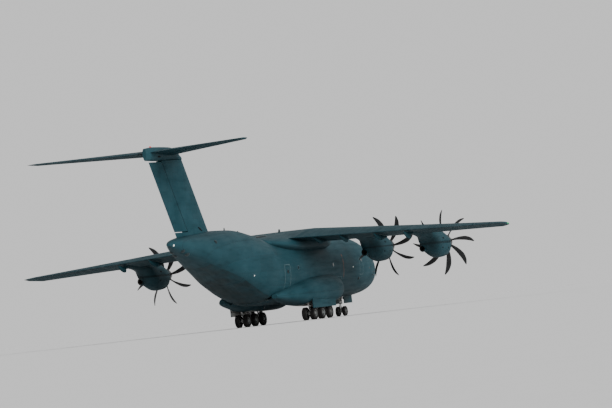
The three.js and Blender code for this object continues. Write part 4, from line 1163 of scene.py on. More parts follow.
# Frames and stringers that stiffen the hold's wall, sunk a little into it
RIB_DEPTH = 0.07
STRINGER_DEPTH = 0.04
RIB_FOOT = -WALL + 0.01
rib_zone = cut(
    body(FUSELAGE, 8.4, 24.4, RIB_FOOT, step=0.6),
    body(FUSELAGE, 8.2, 24.6, -WALL - RIB_DEPTH, step=0.6),
)
ribs = []
for s in [8.8 + 0.9 * k for k in range(15)] + [22.2, 23.7]:
    ribs.append(common(rib_zone.copy(), box(s, s + 0.06, -3, 3, FLOOR_TOP + 0.02, 8)))
for degrees in (-22, 2, 26, 50, 74, 106, 130, 154, 178, 202):
    top = -WALL - STRINGER_DEPTH
    corners = ((-0.7, RIB_FOOT), (0.7, RIB_FOOT), (0.7, top), (-0.7, top))
    rings = [
        [on_hull(8.5 + 0.5 * k, degrees + turn, grow) for turn, grow in corners]
        for k in range(28)
    ]
    ribs.append(loft(rings))
show("hold_frames", together(*ribs), INSIDE)

# Windscreen: the panes, flush in their openings, and the layer behind their posts
pane_layer = cut(
    body(FUSELAGE, 1.2, 5.4, -WALL - FIT, step=0.2),
    body(FUSELAGE, 1.1, 5.5, -WALL - 0.035, step=0.2),
)
BAND = [(1.7, 5.02), (2.7, 4.72), (4.2, 4.86), (4.6, 5.9), (3.2, 6.4), (2.5, 6.4)]
windscreen = [common(pane_layer, side_prism(BAND, -2.7, 2.7))]
for corners in PANES:
    plug = pane_cutter(corners, shrink=SEAM * 0.8, inner=0.22, outer=0.4)
    plug = common(plug, body(FUSELAGE, 1, 6, step=0.2))
    plug = cut(plug, body(FUSELAGE, 1.1, 5.5, -WALL - 0.03, step=0.2))
    windscreen += [mirrored(plug), plug]
show(
    "windscreen_panes", together(*windscreen), GLASS, instead_of=["windscreen"],
    sharp=24,
)


# Wing: a centre section in its fairing, and two outer wings with flaps and ailerons

WING_ROOT = 2.95
WING_TIPPED = tip_rows(WING, rows=8, power=1.8)
FLAPS = [
    {"name": "inner", "from": 3.25, "to": 8.5, "pods": [4.5], "behind_engine": [6.9]},
    {"name": "outer", "from": 8.62, "to": 14.6, "pods": [9.95], "behind_engine": [12.62]},
]
FLAP_SHARE = 0.73
POD_HALF_WIDTH = 0.13
AILERON = {"from": 14.75, "to": 20.1, "share": 0.75, "noses": (0.182, 0.115)}

half_centre = span_solid(WING, 0, WING_ROOT, level_point)
wing_fairing = body(WING_FAIRING, 11.4, 25.2, step=0.25)
wing_fairing = join(wing_fairing, mirrored(half_centre), half_centre)
wing_fairing = cut(wing_fairing, body(FUSELAGE, 9, 27, FIT))
show("wing_fairing", wing_fairing, FAIRING_SKIN, instead_of=["wing_centre"])


def wing_point(out, share):
    """A point on the wing's middle line, at a share of the chord."""
    _, lead, chord, base, rise, _, camber = span_row(WING, out)
    up = camber * 4 * share * (1 - share) * chord + share * rise
    return place(lead + chord * share, out, base + up)


def pod(out):
    """The housing of a flap's hinge: a slim canoe under the wing."""
    _, lead, chord, base, _, _, _ = span_row(WING, out)
    knee = lead + chord * FLAP_SHARE
    ends = (knee - 1.5, lead + chord * 0.99)
    keel = curve(
        [ends[0], knee - 0.9, knee + 0.05, knee + 0.9, ends[1]],
        [base - 0.06 * chord, base - 0.5, base - 0.6, base - 0.36, base - 0.02],
    )
    rings = []
    for t in [k / 28 for k in range(29)]:
        s = ends[0] + (ends[1] - ends[0]) * t
        top = base - 0.06 * chord * (1 - t) + 0.02
        half = POD_HALF_WIDTH * max(0.12, (1 - abs(2 * t - 1) ** 3) ** 0.5)
        deep = max(0.02, top - keel(s))
        ring = []
        for a in turns(24):
            across = math.copysign(abs(math.cos(a)) ** 0.8, math.cos(a)) * half
            ring.append(place(s, out + across, top - deep / 2 + math.sin(a) * deep / 2))
        rings.append(ring)
    return loft(rings)


wing = span_solid(WING_TIPPED, WING_ROOT + FIT, HALF_SPAN, level_point, step=0.6)
flap_gap = SEAM * SCALE
for flap in FLAPS:
    hinge = HingeFrame(wing_point(flap["from"], FLAP_SHARE), wing_point(flap["to"], FLAP_SHARE))
    long = hinge.length
    block = hinge.block((0, long), (0, FAR), (-DEEP, DEEP))
    pod_room = hinge.block((-flap_gap, long), (-0.1 * SCALE, FAR), (-DEEP, DEEP))
    made = common(wing.copy(), block.copy())
    wing = cut(wing, hinge.block((-flap_gap, long + flap_gap), (-flap_gap, FAR), (-DEEP, DEEP)))
    for out in flap["pods"] + flap["behind_engine"]:
        housing = pod(out)
        made = join(made, common(housing.copy(), block.copy()))
        if out in flap["pods"]:
            wing = join(wing, cut(housing, pod_room.copy()))
    for side, turned in SIDES:
        node = f"flap_{flap['name']}_{side}"
        show(f"{node}_skin", turned(made), FLAP_SKIN, node, [node])
aileron, room = hinged_surface(
    wing,
    wing_point(AILERON["from"], AILERON["share"]),
    wing_point(AILERON["to"], AILERON["share"]),
    *AILERON["noses"],
)
wing = cut(wing, room)
for side, turned in SIDES:
    show(f"wing_{side}_skin", turned(wing), WING_SKIN, instead_of=[f"wing_{side}"])
    node = f"aileron_{side}"
    show(f"{node}_skin", turned(aileron), FLAP_SKIN, node, [node])


# Engine housings, with an intake in the chin and an exhaust on the port side

ENGINE_BACK = 3.5


def nacelle_table(engine, y):
    """The sections of an engine's housing, about a middle line at y."""
    inner = span_row(WING, ENGINES[1]["y"])[3] - ENGINES[1]["z"]
    higher = span_row(WING, abs(engine["y"]))[3] - engine["z"] - inner
    table = []
    for s, top, bottom, half, mid, square, rise in NACELLE:
        up = engine["z"] + rise * higher
        table.append((s + engine["s"], top + up, bottom + up, half, mid + up, square, y))
    return table


def engine_shell(engine):
    side = abs(engine["y"])
    to_port = 1 if engine["y"] > 0 else -1
    shifted = nacelle_table(engine, side)

    def at(s, y, z):
        return place(engine["s"] + s, side + y, engine["z"] + z)

    def pipe(radius, start, end):
        return bar(at(start, to_port * 0.3, -0.3), at(end, to_port * 0.62, -0.34), radius, 40)

    def chin(g, start, end):
        high, low = -0.6 + g, -0.79 - g
        corners = [(-0.36 - g, high), (0.36 + g, high), (0.26 + g, low), (-0.26 - g, low)]
        outline = rounded(corners, 0.3, 6)
        return loft([[at(s, y, z) for y, z in outline] for s in (start, end)])

    front = engine["s"] + NACELLE[0][0]
    shell = body(shifted, front, engine["s"] + NACELLE[-1][0], sides=80, step=0.14)
    shell = join(shell, pipe(0.29, 2.2, 3.85), chin(0.05, 0.33, 0.62))
    shell = cut(
        shell,
        body(shifted, engine["s"] + 0.5, engine["s"] + ENGINE_BACK, -0.08, sides=48),
        pipe(0.23, 2.1, 4.0),
        bar(at(0.2, 0, 0), at(0.7, 0, 0), 0.2, 40),
        chin(0, 0.2, 0.75),
        span_solid(WING, WING_ROOT, HALF_SPAN, level_point, grow=FIT * 2),
    )
    tail_pipe = cut(pipe(0.225, 2.6, 3.9), pipe(0.2, 2.5, 4.0))
    return [shell, tail_pipe]


for engine in ENGINES:
    number = engine["number"]
    shell, tail_pipe = engine_shell(engine)
    if engine["y"] < 0:
        shell, tail_pipe = mirrored(shell), mirrored(tail_pipe)
    node = f"engine_housing_{number}"
    show(f"nacelle_{number}", shell, NACELLE_SKINS[number], instead_of=[node])
    show(f"exhaust_{number}", tail_pipe, HOT_STEEL)


# Propellers: a spinner with eight swept blades

SPINNER = [(-1.08, 0), (-0.98, 0.2), (-0.7, 0.38), (-0.3, 0.5), (0.05, 0.55), (0.3, 0.55)]
COLLAR = [(0, 0), (0, 0.15), (0.14, 0.14), (0.16, 0.12), (0.16, 0)]
# Blade sections: radius, chord, thickness, angle from the disc, sweep in the disc, and lean aft
BLADE = [
    (0.45, 0.24, 0.15, 72, 0, 0),
    (0.95, 0.42, 0.08, 62, 0.03, 0.04),
    (1.75, 0.52, 0.05, 50, 0.2, 0.15),
    (2.3, 0.4, 0.032, 43, 0.45, 0.27),
    (PROP_RADIUS, 0.16, 0.02, 40, 0.72, 0.38),
]
BLADE_RINGS = 26
BLADE_SIDES = 24
EDGE_FROM_RING = 8


def blade_ring(values, hand, turn):
    r, chord, thick, angle, sweep, aft = values
    tilt = math.radians(angle)
    ring = []
    for k, a in enumerate(turns(BLADE_SIDES)):
        share = (1 - math.cos(a)) / 2
        form = 2.6 * math.sqrt(share) * (1 - share) ** 0.85
        along = (share - 0.5) * chord
        across = math.copysign(min(0.5, 0.5 * form), math.sin(a)) * thick if k else 0.0
        tangent = hand * (sweep + along * math.cos(tilt) - across * math.sin(tilt))
        axial = -(aft + along * math.sin(tilt) + across * math.cos(tilt))
        reach = math.sqrt(max(0.0, r * r - sweep * sweep))
        y = reach * math.cos(turn) - tangent * math.sin(turn)
        z = reach * math.sin(turn) + tangent * math.cos(turn)
        ring.append(Vector((axial, y, z)) * SCALE)
    return ring


def blade_turns(engine):
    return [math.radians(engine["turn"]) + k * 2 * math.pi / BLADES for k in range(BLADES)]


def propeller_blades(engine, hub):
    xs = [row[0] for row in BLADE]
    curves = [curve(xs, list(column)) for column in list(zip(*BLADE))[1:]]
    blades = []
    for turn in blade_turns(engine):
        rings = []
        for n in range(BLADE_RINGS + 1):
            r = xs[0] + (xs[-1] - xs[0]) * n / BLADE_RINGS
            values = [r] + [known(r) for known in curves]
            if n >= BLADE_RINGS - 1:
                values[1] *= 0.9 if n == BLADE_RINGS - 1 else 0.55
            rings.append([hub + p for p in blade_ring(values, engine["hand"], turn)])
        blades.append(loft(rings))
    return blades


def on_leading_edge(face):
    """Whether a face of the blades lies on the metal strip along a leading edge, whose pale colour
    is partly a painted highlight.
    """
    k = face.index % (BLADE_RINGS * BLADE_SIDES + 2)
    ring, side = divmod(k, BLADE_SIDES)
    in_strip = side in (0, 1, BLADE_SIDES - 2, BLADE_SIDES - 1)
    return EDGE_FROM_RING <= ring < BLADE_RINGS and in_strip


# The spinner's curve runs over the root of the distance from its tip, which keeps it blunt
TIP = -SPINNER[0][0]
FORWARD = Vector((1, 0, 0))
spin_curve = curve([math.sqrt(aft + TIP) for aft, _ in SPINNER], [r for _, r in SPINNER])
for engine in ENGINES:
    number = engine["number"]
    hub = place(engine["s"], engine["y"], engine["z"])
    profile = [(-0.3, 0)]
    for k in range(33):
        root = math.sqrt(TIP + 0.3) * (1 - k / 32)
        profile.append((TIP - root * root, spin_curve(root)))
    profile[-1] = (TIP, 0)
    spinner = lathe(profile, hub, FORWARD, 64)
    shaft = bar(hub - FORWARD * (0.2 * SCALE), hub - FORWARD * (0.63 * SCALE), 0.11)
    collars = []
    for turn in blade_turns(engine):
        out = Vector((0, math.cos(turn), math.sin(turn)))
        root = hub + out * (0.44 * SCALE)
        collars.append(lathe(COLLAR, root, out, 28))
    rotor = f"propeller_{number}"
    show(f"{rotor}_spinner", join(spinner, shaft), SPINNER_SKIN, rotor, [rotor])
    show(f"{rotor}_collars", together(*collars), STEEL, rotor)
    show(
        f"{rotor}_blades", together(*propeller_blades(engine, hub)), BLACK, rotor,
        sharp=60, second=EDGE_METAL_HIGHLIGHT, where=on_leading_edge,
    )


# Landing gear fairings, with their wheel wells and gear doors

WELL = {"s0": 15.3, "s1": 20.45, "y0": 2.3, "y1": 3.62, "top": 1.95}
sponson = cut(
    body(SPONSON, 11.9, 25.2, step=0.2),
    box(WELL["s0"], WELL["s1"], WELL["y0"], WELL["y1"], 0, WELL["top"]),
    box(RAMP_HINGE_S - 0.6, 27, -2, RAMP_HALF_WIDTH + 2 * SEAM, 0, 4),
)
gear_door = box(WELL["s0"] + 0.05, WELL["s1"] - 0.05, WELL["y1"], WELL["y1"] + 0.06, 0.95, 1.85)
sponson = cut(join(sponson, gear_door), body(FUSELAGE, 10, 27, FIT))


def in_well(face):
    s = LENGTH / 2 - face.center.x / SCALE
    y, z = abs(face.center.y) / SCALE, face.center.z / SCALE
    flat = max(abs(face.normal.x), abs(face.normal.y), abs(face.normal.z)) > 0.99
    return flat and WELL["s0"] - 0.05 < s < WELL["s1"] + 0.05 and y < WELL["y1"] + 0.01 and z < 2


for side, turned in SIDES:
    show(f"sponson_{side}_skin", turned(sponson), SPONSON_SKIN, instead_of=[f"sponson_{side}"],
         second=STRUT, where=in_well)


# Wheels: tyres with grooves, and dished rims with bolts


def axle_height(radius):
    return radius * math.cos(math.pi / WHEEL_SIDES)


MAIN_AXLE_Z = axle_height(MAIN_WHEEL_RADIUS)
NOSE_AXLE_Z = axle_height(NOSE_WHEEL_RADIUS)
MAIN_AXLE = 0.07
NOSE_AXLE = 0.06
PORT = Vector((0, 1, 0))


def tyre(hub, radius, half, grooves):
    """A tyre with a rounded shoulder, and grooves round its tread."""
    r, rim = radius, radius * 0.56
    profile = [(-half * 0.5, 0), (-half * 0.5, rim * 0.96), (-half * 0.8, rim)]
    for a in [math.pi / 2 * k / 8 for k in range(9)]:
        out = half * (0.62 + 0.38 * math.cos(a))
        profile.append((-out, rim + (r - rim) * (0.35 + 0.65 * math.sin(a))))
    for g in range(grooves):
        at = half * 0.5 * (2 * g / (grooves - 1) - 1)
        wide, deep = half * 0.05, r * 0.022
        profile += [(at - wide, r), (at - wide * 0.8, r - deep)]
        profile += [(at + wide * 0.8, r - deep), (at + wide, r)]
    profile += [(-w, q) for w, q in reversed(profile[:12])]
    return lathe(profile, hub, PORT, 72)


# Two circles of bolts: how many, turn in steps, places as shares of the rim, length and radius
BOLTS = [(10, 0, 0.67, 0.36, 0.03, 0.018), (5, 0.5, 0.24, 0.7, 0.02, 0.014)]


def rim(hub, radius, half, outwards):
    """A dished wheel with a hub cap, seen from one side."""
    q = radius * 0.56
    face = half * 0.82
    profile = [
        (-half * 0.4, 0), (-half * 0.4, q * 0.94), (face, q * 0.985), (face + 0.006, q * 0.95),
        (face - 0.01, q * 0.88), (half * 0.42, q * 0.8), (half * 0.34, q * 0.55),
        (half * 0.6, q * 0.42), (half * 0.72, q * 0.36), (half * 0.74, q * 0.18), (half * 0.78, 0),
    ]
    axis = PORT * outwards
    made = [lathe(profile, hub, axis, 56)]
    for count, shift, out, along, long, size in BOLTS:
        for k in range(count):
            a = 2 * math.pi * (k + shift) / count
            reach = Vector((math.cos(a), 0, math.sin(a))) * (q * out * SCALE)
            bolt = hub + reach + axis * (half * along * SCALE)
            made.append(bar(bolt, bolt + axis * (long * SCALE), size, 6))
    return together(*made)


def twin_wheels(name, rides_on, s, y, axle_z, half, half_track, axle):
    """Two wheels on an axle, whose radius is their axle's height."""
    tyres, rims = [], []
    for outwards in (-1, 1):
        hub = place(s, y + outwards * half_track, axle_z)
        tyres.append(tyre(hub, axle_z, half, grooves=4))
        rims += [rim(hub, axle_z, half, way) for way in (outwards, -outwards)]
    show(f"{name}_tyres", together(*tyres), TYRE, rides_on, [rides_on], sharp=40)
    rims.append(crossbar(s, y, axle_z, half_track - half * 0.3, axle))
    show(f"{name}_rims", together(*rims), RIM, rides_on)


for sign, side in ((1, "left"), (-1, "right")):
    for i, s in enumerate(MAIN_GEAR_S):
        name = f"main_wheels_{side}_{i + 1}"
        y = sign * MAIN_GEAR_Y
        twin_wheels(name, name, s, y, MAIN_AXLE_Z, half=0.19, half_track=0.37, axle=MAIN_AXLE)
twin_wheels(
    "nose_wheel", "nose_wheels", NOSE_GEAR_S, 0, NOSE_AXLE_Z, half=0.14, half_track=0.3,
    axle=NOSE_AXLE,
)


# Landing gear legs


def sleeve(s, y, z, inner, outer, half):
    """A bearing round an axle."""
    return cut(crossbar(s, y, z, half, outer), crossbar(s, y, z, half + 0.1, inner))


def hose(points, radius):
    """A thin line or hose along points of the model's frame."""
    rings = []
    for k, point in enumerate(points):
        ahead = points[min(k + 1, len(points) - 1)] - points[max(k - 1, 0)]
        rings.append(turned_ring(point, ahead, radius * SCALE, 10))
    return loft(rings)


def bent(start, middle, end):
    """Points along a curve bent towards a middle point."""
    shares = [k / 14 for k in range(15)]
    return [start * (1 - t) ** 2 + middle * 2 * t * (1 - t) + end * t * t for t in shares]


RUNNING_GAP = 0.022
BEAM_TOP = WELL["top"] - FIT
KNEE_Z = 1.02
white, bright, black = [], [], []
y = MAIN_GEAR_Y
white.append(box(WELL["s0"] + FIT, WELL["s1"] - FIT, y - 0.12, y + 0.12, BEAM_TOP - 0.14, BEAM_TOP))
for s in MAIN_GEAR_S:
    fore = s - 0.62
    knee, axle = place(fore, y, KNEE_Z), place(s, y, MAIN_AXLE_Z)
    top = BEAM_TOP - 0.07
    white += [
        post(fore, y, top, KNEE_Z, 0.11, 32),
        post(fore, y, top - 0.18, top - 0.3, 0.135, 32),
        crossbar(fore, y, KNEE_Z, 0.15, 0.14),
        bar(knee, knee + (axle - knee) * 0.86, 0.115, 32, 0.085),
        post(s + 0.12, y, top, 1.25, 0.1, 32),
        sleeve(s, y, MAIN_AXLE_Z, inner=MAIN_AXLE + RUNNING_GAP, outer=0.15, half=0.12),
    ]
    bright.append(bar(place(s + 0.12, y, 1.3), place(s - 0.1, y, 0.74), 0.06))
    bright.append(crossbar(fore, y, KNEE_Z, 0.17, 0.05, 6))
    for out in (-0.09, 0.09):
        foot = axle + (knee - axle) * 0.3 + Vector((0, out * SCALE, 0.05))
        line = bent(place(s - 0.5, y + out, 1.85), place(s - 0.3, y + out * 1.6, 1.1), foot)
        black.append(hose(line, 0.014))
for side, turned in SIDES:
    node = f"main_gear_frame_{side}"
    for kind, meshes, look, nodes in (
        ("legs", white, STRUT, [node]), ("pistons", bright, CHROME, ()), ("hoses", black, SEAL, ())
    ):
        mesh = turned(together(*[part.copy() for part in meshes]))
        show(f"main_gear_{kind}_{side}", mesh, look, instead_of=nodes)

LEG_FOOT = 1.2
LEG_TOP = FLOOR_TOP - FLOOR_THICK - FIT
s = NOSE_GEAR_S
leg = [
    post(s, 0, LEG_FOOT, LEG_TOP, 0.13),
    post(s, 0, LEG_FOOT, LEG_FOOT + 0.08, 0.155),
    post(s, 0, 1.68, 1.82, 0.15),
    crossbar(s, 0, 1.75, 0.4, 0.07),
    bar(place(s - 0.05, 0, 1.4), place(s - 1.0, 0, LEG_TOP - 0.06), 0.06),
]
for y in (-0.1, 0.1):
    leg.append(bar(place(s + 0.05, y, 1.5), place(s + 0.45, y, LEG_TOP - 0.06), 0.035))
lamps = []
for y in (-0.24, 0.24):
    leg.append(bar(place(s - 0.1, y, 1.5), place(s - 0.22, y, 1.5), 0.1, 32, 0.115))
    leg.append(bar(place(s - 0.1, y, 1.5), place(s, 0, 1.5), 0.03))
    lamps.append(bar(place(s - 0.215, y, 1.5), place(s - 0.235, y, 1.5), 0.1, 32, 0.09))
show("nose_leg", together(*leg), STRUT, instead_of=["nose_gear_leg"])
show("taxi_lamps", together(*lamps), WHITE_LAMP)

fork_top = LEG_FOOT - RUNNING_GAP
fork = [
    post(s, 0, fork_top - 0.14, fork_top, 0.15),
    post(s, 0, NOSE_AXLE_Z + 0.1, NOSE_AXLE_Z + 0.3, 0.11),
    sleeve(s, 0, NOSE_AXLE_Z, inner=NOSE_AXLE + RUNNING_GAP, outer=0.13, half=0.1),
]
LINK_Z = 0.86
for y in (-0.05, 0.05):
    fork.append(bar(place(s + 0.1, y, fork_top - 0.07), place(s + 0.3, y, LINK_Z), 0.03))
fork.append(crossbar(s + 0.3, 0, LINK_Z, 0.08, 0.035))
fork.append(bar(place(s + 0.3, 0, LINK_Z), place(s + 0.08, 0, NOSE_AXLE_Z + 0.16), 0.04))
show("nose_fork_parts", together(*fork), STRUT, "nose_fork", ["nose_gear_fork"])
piston = post(s, 0, NOSE_AXLE_Z + 0.25, fork_top - 0.1, 0.09)
show("nose_piston", piston, CHROME, "nose_fork")


# Tail: fin with rudder, tailplane with elevators, and the fairing where they meet

# The rudder is 90 mm taller than the CAD's, with 65 mm below it, which its swept hinge needs
RUDDER = {"low": 8.06, "high": 13.52, "share": 0.7, "noses": (0.252, 0.24)}
RUDDER_TALLER = 0.09
RUDDER_FOOT_GAP = 0.065
ELEVATOR = {"from": 0.75, "to": 8.35, "share": 0.68, "noses": (0.178, 0.068)}
ELEVATOR_GAP = 0.06
TAIL_STEP = 0.5


def rudder_hinge(z):
    row = span_row(FIN, z)
    return place(row[1] + row[2] * RUDDER["share"], 0, z)


def whole_fin(grow=0.0):
    return span_solid(FIN, FIN[0][0], FIN[1][0], upright_point, TAIL_STEP, grow)


fin = cut(whole_fin(), body(FUSELAGE, 30, 40, FIT))
low, high = RUDDER["low"], RUDDER["high"]
rudder, room = hinged_surface(
    fin, rudder_hinge(low), rudder_hinge(high), *RUDDER["noses"],
    {
        "up": Vector((0, 1, 0)),
        "surface": box(30, 46, -2, 2, low, high + RUDDER_TALLER),
        "removed": box(30, 46, -2, 2, low - RUDDER_FOOT_GAP, 15),
    },
)
show("fin_skin", cut(fin, room), FIN_SKIN, instead_of=["fin"])
show("rudder_skin", rudder, FIN_SKIN, "rudder", ["rudder"])


def elevator_hinge(out):
    row = span_row(TAILPLANE[3:5], out)
    return place(row[1] + row[2] * ELEVATOR["share"], out, row[3])


def whole_tailplane(grow=0.0):
    half = TAILPLANE_HALF_SPAN
    return span_solid(TAILPLANE, -half, half, level_point, TAIL_STEP, grow)


tail = whole_tailplane()
start, end = ELEVATOR["from"], ELEVATOR["to"]
elevator, room = hinged_surface(
    tail, elevator_hinge(start), elevator_hinge(end), *ELEVATOR["noses"],
    {
        "up": Vector((0, 0, 1)),
        "surface": box(30, 50, start, end, 13, 16),
        "removed": box(30, 50, start - ELEVATOR_GAP, end + ELEVATOR_GAP, 13, 16),
    },
)
tail = cut(tail, mirrored(room), room)
show("tailplane_skin", tail, TAIL_SKIN, instead_of=["tailplane"])
for side, turned in SIDES:
    node = f"elevator_{side}"
    show(f"{node}_skin", turned(elevator), TAIL_SKIN, node, [node])

fin_room = whole_fin(FIT * 2)
fin_room.transform(Matrix.Translation((0, 0, FIT * SCALE)))
tail_bullet = body(TAIL_FAIRING, 35.85, 42.9, sides=72, step=0.15)
tail_bullet = cut(tail_bullet, whole_tailplane(FIT * 2), fin_room)
show("tail_bullet", tail_bullet, FAIRING_SKIN, instead_of=["tail_fairing"])


# Small fittings

UP = Vector((0, 0, 1))


def spot_on_hull(s, degrees, sunk=0.0):
    """A point of the hull's surface and the direction straight out from it."""
    point = on_hull(s, degrees)
    ahead, aside = on_hull(s + 0.05, degrees) - point, on_hull(s, degrees + 1) - point
    out = aside.cross(ahead).normalized()
    if out.dot(point - place(s, 0, section(s)["mid"])) < 0:
        out = -out
    return point - out * (sunk * SCALE), out


def dome(at, out, radius, height, sides=28):
    """A low round cap standing on a surface."""
    angles = [math.pi / 2 * k / 8 for k in range(9)]
    profile = [(0, 0)] + [(height * math.sin(a), radius * math.cos(a)) for a in angles]
    profile[-1] = (height, 0)
    return lathe(profile, at, out, sides)


def fin_antenna(at, out, height, chord, lean=0.35, thick=0.05):
    """A swept blade aerial standing on a surface."""
    aft = Vector((-1, 0, 0))
    aft = (aft - out * aft.dot(out)).normalized()
    side = aft.cross(out)
    rings = []
    for share in (-0.15, 0.0, 0.5, 0.9, 1.0):
        rise = max(0.0, share)
        size = chord * (1 - 0.45 * rise) * (0.8 if share == 1.0 else 1)
        ring = []
        for a in turns(16):
            along = (0.5 - 0.5 * math.cos(a)) * size + lean * height * rise
            across = math.sin(a) * thick / 2 * (1 - 0.5 * rise)
            ring.append(at + (aft * along + side * across + out * (height * share)) * SCALE)
        rings.append(ring)
    return loft(rings)


# Aerials: on the crown, and a group under the belly
SUNK = 0.02
# Station, height and chord of each on the crown, and station, angle and height of the others
CROWN_AERIALS = [(9.6, 0.3, 0.42), (12.0, 0.22, 0.3), (25.6, 0.3, 0.42), (28.4, 0.24, 0.34)]
BELLY_AERIALS = [
    (9.4, 270, 0.3), (11.2, 273, 0.26), (12.6, 267, 0.34),
    (13.4, 270, 0.3), (14.2, 274, 0.24), (21.8, 270, 0.3),
]
aerials = []
for s, height, chord in CROWN_AERIALS:
    aerials.append(fin_antenna(*spot_on_hull(s, 90, SUNK), height, chord))
aerials.append(fin_antenna(place(16.6, 0, 7.4), UP, height=0.3, chord=0.55, thick=0.12))
for s, degrees, height in BELLY_AERIALS:
    aerials.append(fin_antenna(*spot_on_hull(s, degrees, SUNK), height, chord=0.34))
show("aerials", together(*aerials), SPINNER_SKIN)

# Rounded housings: satellite aerial on the crown, sensors on the tail cone and the cheeks
housings = [
    dome(place(21.0, 0, 7.16), UP, radius=0.5, height=0.12, sides=40),
    dome(place(10.9, 0, section(10.9)["top"] - 0.01), UP, radius=0.28, height=0.1, sides=40),
]
for s, degrees, radius in ((38.6, -52, 0.17), (37.9, -60, 0.2), (6.9, -24, 0.14), (34.6, 24, 0.16)):
    housings.append(both(dome(*spot_on_hull(s, degrees, SUNK), radius, radius * 0.8)))
show("sensor_housings", together(*housings), SPINNER_SKIN)

# Pitot tubes and vanes on the nose
probes = []
for s, degrees in ((3.35, -12), (3.6, -18), (3.35, -26)):
    at, out = spot_on_hull(s, degrees, SUNK)
    elbow = at + out * (0.16 * SCALE)
    back, tip = elbow - Vector((0.02, 0, 0)), elbow + Vector((0.14, 0, 0))
    probes += [both(bar(at, elbow, 0.022, 12)), both(bar(back, tip, 0.02, 12, 0.012))]
at, out = spot_on_hull(4.5, -6, 0.01)
probes.append(both(dome(at, out, radius=0.07, height=0.03)))
probes.append(both(bar(at, at + out * (0.12 * SCALE), 0.012, 8)))
show("air_probes", together(*probes), STEEL)


def along_hull(start, end):
    """Points just off the hull's surface, from one station and angle to another."""
    shares = [k / 10 for k in range(11)]
    return [on_hull(*[a + (b - a) * t for a, b in zip(start, end)], 0.035) for t in shares]


wipers = [
    hose(along_hull((1.88, 84), (2.32, 66)), 0.015),
    hose(along_hull((2.12, 54), (2.62, 42)), 0.015),
]
show("wipers", both(together(*wipers)), SEAL)


# Door and hatch outlines: thin worn edges round the troop doors, the escape hatch and a hatch
# on each side


def outline_on_hull(s0, s1, z0, z1, width=0.02, grow=0.004):
    """A flat strip that follows the hull round a rectangle, on the port side."""

    def block(w, y0, y1):
        corners = [(s0 + w, z0 + w), (s1 - w, z0 + w), (s1 - w, z1 - w), (s0 + w, z1 - w)]
        return side_prism(rounded(corners, 0.12), y0, y1)

    layer = cut(
        body(FUSELAGE, s0 - 0.3, s1 + 0.3, grow, step=0.12),
        body(FUSELAGE, s0 - 0.4, s1 + 0.4, -0.02, step=0.12),
    )
    return common(layer, cut(block(0, 1, 4), block(width, 0.5, 4.5)))


show("escape_hatch_seal", mirrored(outline_on_hull(6.0, 6.75, 3.3, 4.7)), WORN_EDGE)
show("troop_door_seals", both(outline_on_hull(22.36, 23.59, 2.41, 4.69, 0.03)), WORN_EDGE)
show("side_hatch_seals", both(outline_on_hull(10.9, 11.9, 2.5, 3.3)), WORN_EDGE)

# Round windows in the hull's side, each a dark pane in a thin frame
PANE_RADIUS = 0.13
panes, frames = [], []
for s, degrees in ((12.8, 0.0), (6.3, 6.0), (20.6, 0.0)):
    at, out = spot_on_hull(s, degrees)
    panes.append(both(bar(at - out * 0.01, at + out * 0.002, PANE_RADIUS, 36)))
    whole = bar(at - out * 0.01, at + out * 0.005, PANE_RADIUS + 0.035, 36)
    frames.append(both(cut(whole, bar(at - out * 0.03, at + out * 0.03, PANE_RADIUS, 36))))
show("side_windows", together(*panes), WINDOW_DARK)
show("side_window_frames", together(*frames), PAINT_METAL)

# Lamps: wing tips, tail, nose sides, crown and belly beacons
WING_LAMP = [(-0.16, 0), (-0.12, 0.05), (0, 0.06), (0.12, 0.05), (0.16, 0)]
wing_lamp = lathe(WING_LAMP, place(20.62, HALF_SPAN - 0.03, 5.93), Vector((1, 0.35, 0)), 24)
show("port_light", wing_lamp.copy(), RED_LAMP)
show("starboard_light", mirrored(wing_lamp), GREEN_LAMP)
lamps = []
for s, degrees, radius in ((39.85, -20, 0.09), (8.3, -4, 0.06), (29.2, -30, 0.07)):
    lamps.append(both(dome(*spot_on_hull(s, degrees, 0.01), radius, height=0.035)))
show("hull_lamps", together(*lamps), WHITE_LAMP)
beacons = [
    dome(*spot_on_hull(14.9, 270, 0.01), radius=0.1, height=0.13),
    dome(place(41.6, 0, 14.78), UP, radius=0.08, height=0.12),
]
show("beacons", together(*beacons), RED_LAMP)


# Discharge wicks at the trailing edges


def wick(at):
    return bar(at + Vector((0.02, 0, 0)), at + Vector((-0.2, 0, -0.012)) * SCALE, 0.008, 6)


def trail_point(table, out):
    _, lead, chord, base, rise, _, _ = span_row(table, out)
    return place(lead + chord, out, base + rise)


for side, turned in SIDES:
    for part, table, first, apart in (
        ("aileron", WING, 15.2, 0.9), ("elevator", TAILPLANE[3:5], 4.4, 0.75)
    ):
        wicks = [wick(trail_point(table, first + apart * k)) for k in range(6)]
        show(f"{part}_wicks_{side}", turned(together(*wicks)), SEAL, f"{part}_{side}")
wicks = []
for z in (9.0, 9.9, 10.8, 11.7, 12.6, 13.3):
    wicks.append(wick(place(span_row(FIN, z)[1] + FIN[0][2], 0, z)))
show("rudder_wicks", together(*wicks), SEAL, "rudder")


# Ovals of painted shade that lie on a surface: they stand for the dark insides of the engine
# housings' vents and of slots at the fin


def oval_patch(known, s, degrees, long, high):
    """A thin oval on a sectioned body, at a station and an angle."""
    a = math.radians(degrees)
    at = section_point(known(s), a)
    along = (section_point(known(s + 0.05), a) - at).normalized()
    out = (section_point(known(s), a + 0.02) - at).cross(along).normalized()
    if out.dot(at - place(s, known(s)["y"], known(s)["mid"])) < 0:
        out = -out
    up = out.cross(along)
    rings = []
    for depth, share in ((-0.02, 1.0), (0.004, 1.0), (0.008, 0.86)):
        ring = []
        for b in turns(24):
            flat = along * (math.cos(b) * long * share) + up * (math.sin(b) * high * share)
            ring.append(at + (flat + out * depth) * SCALE)
        rings.append(ring)
    return loft(rings)


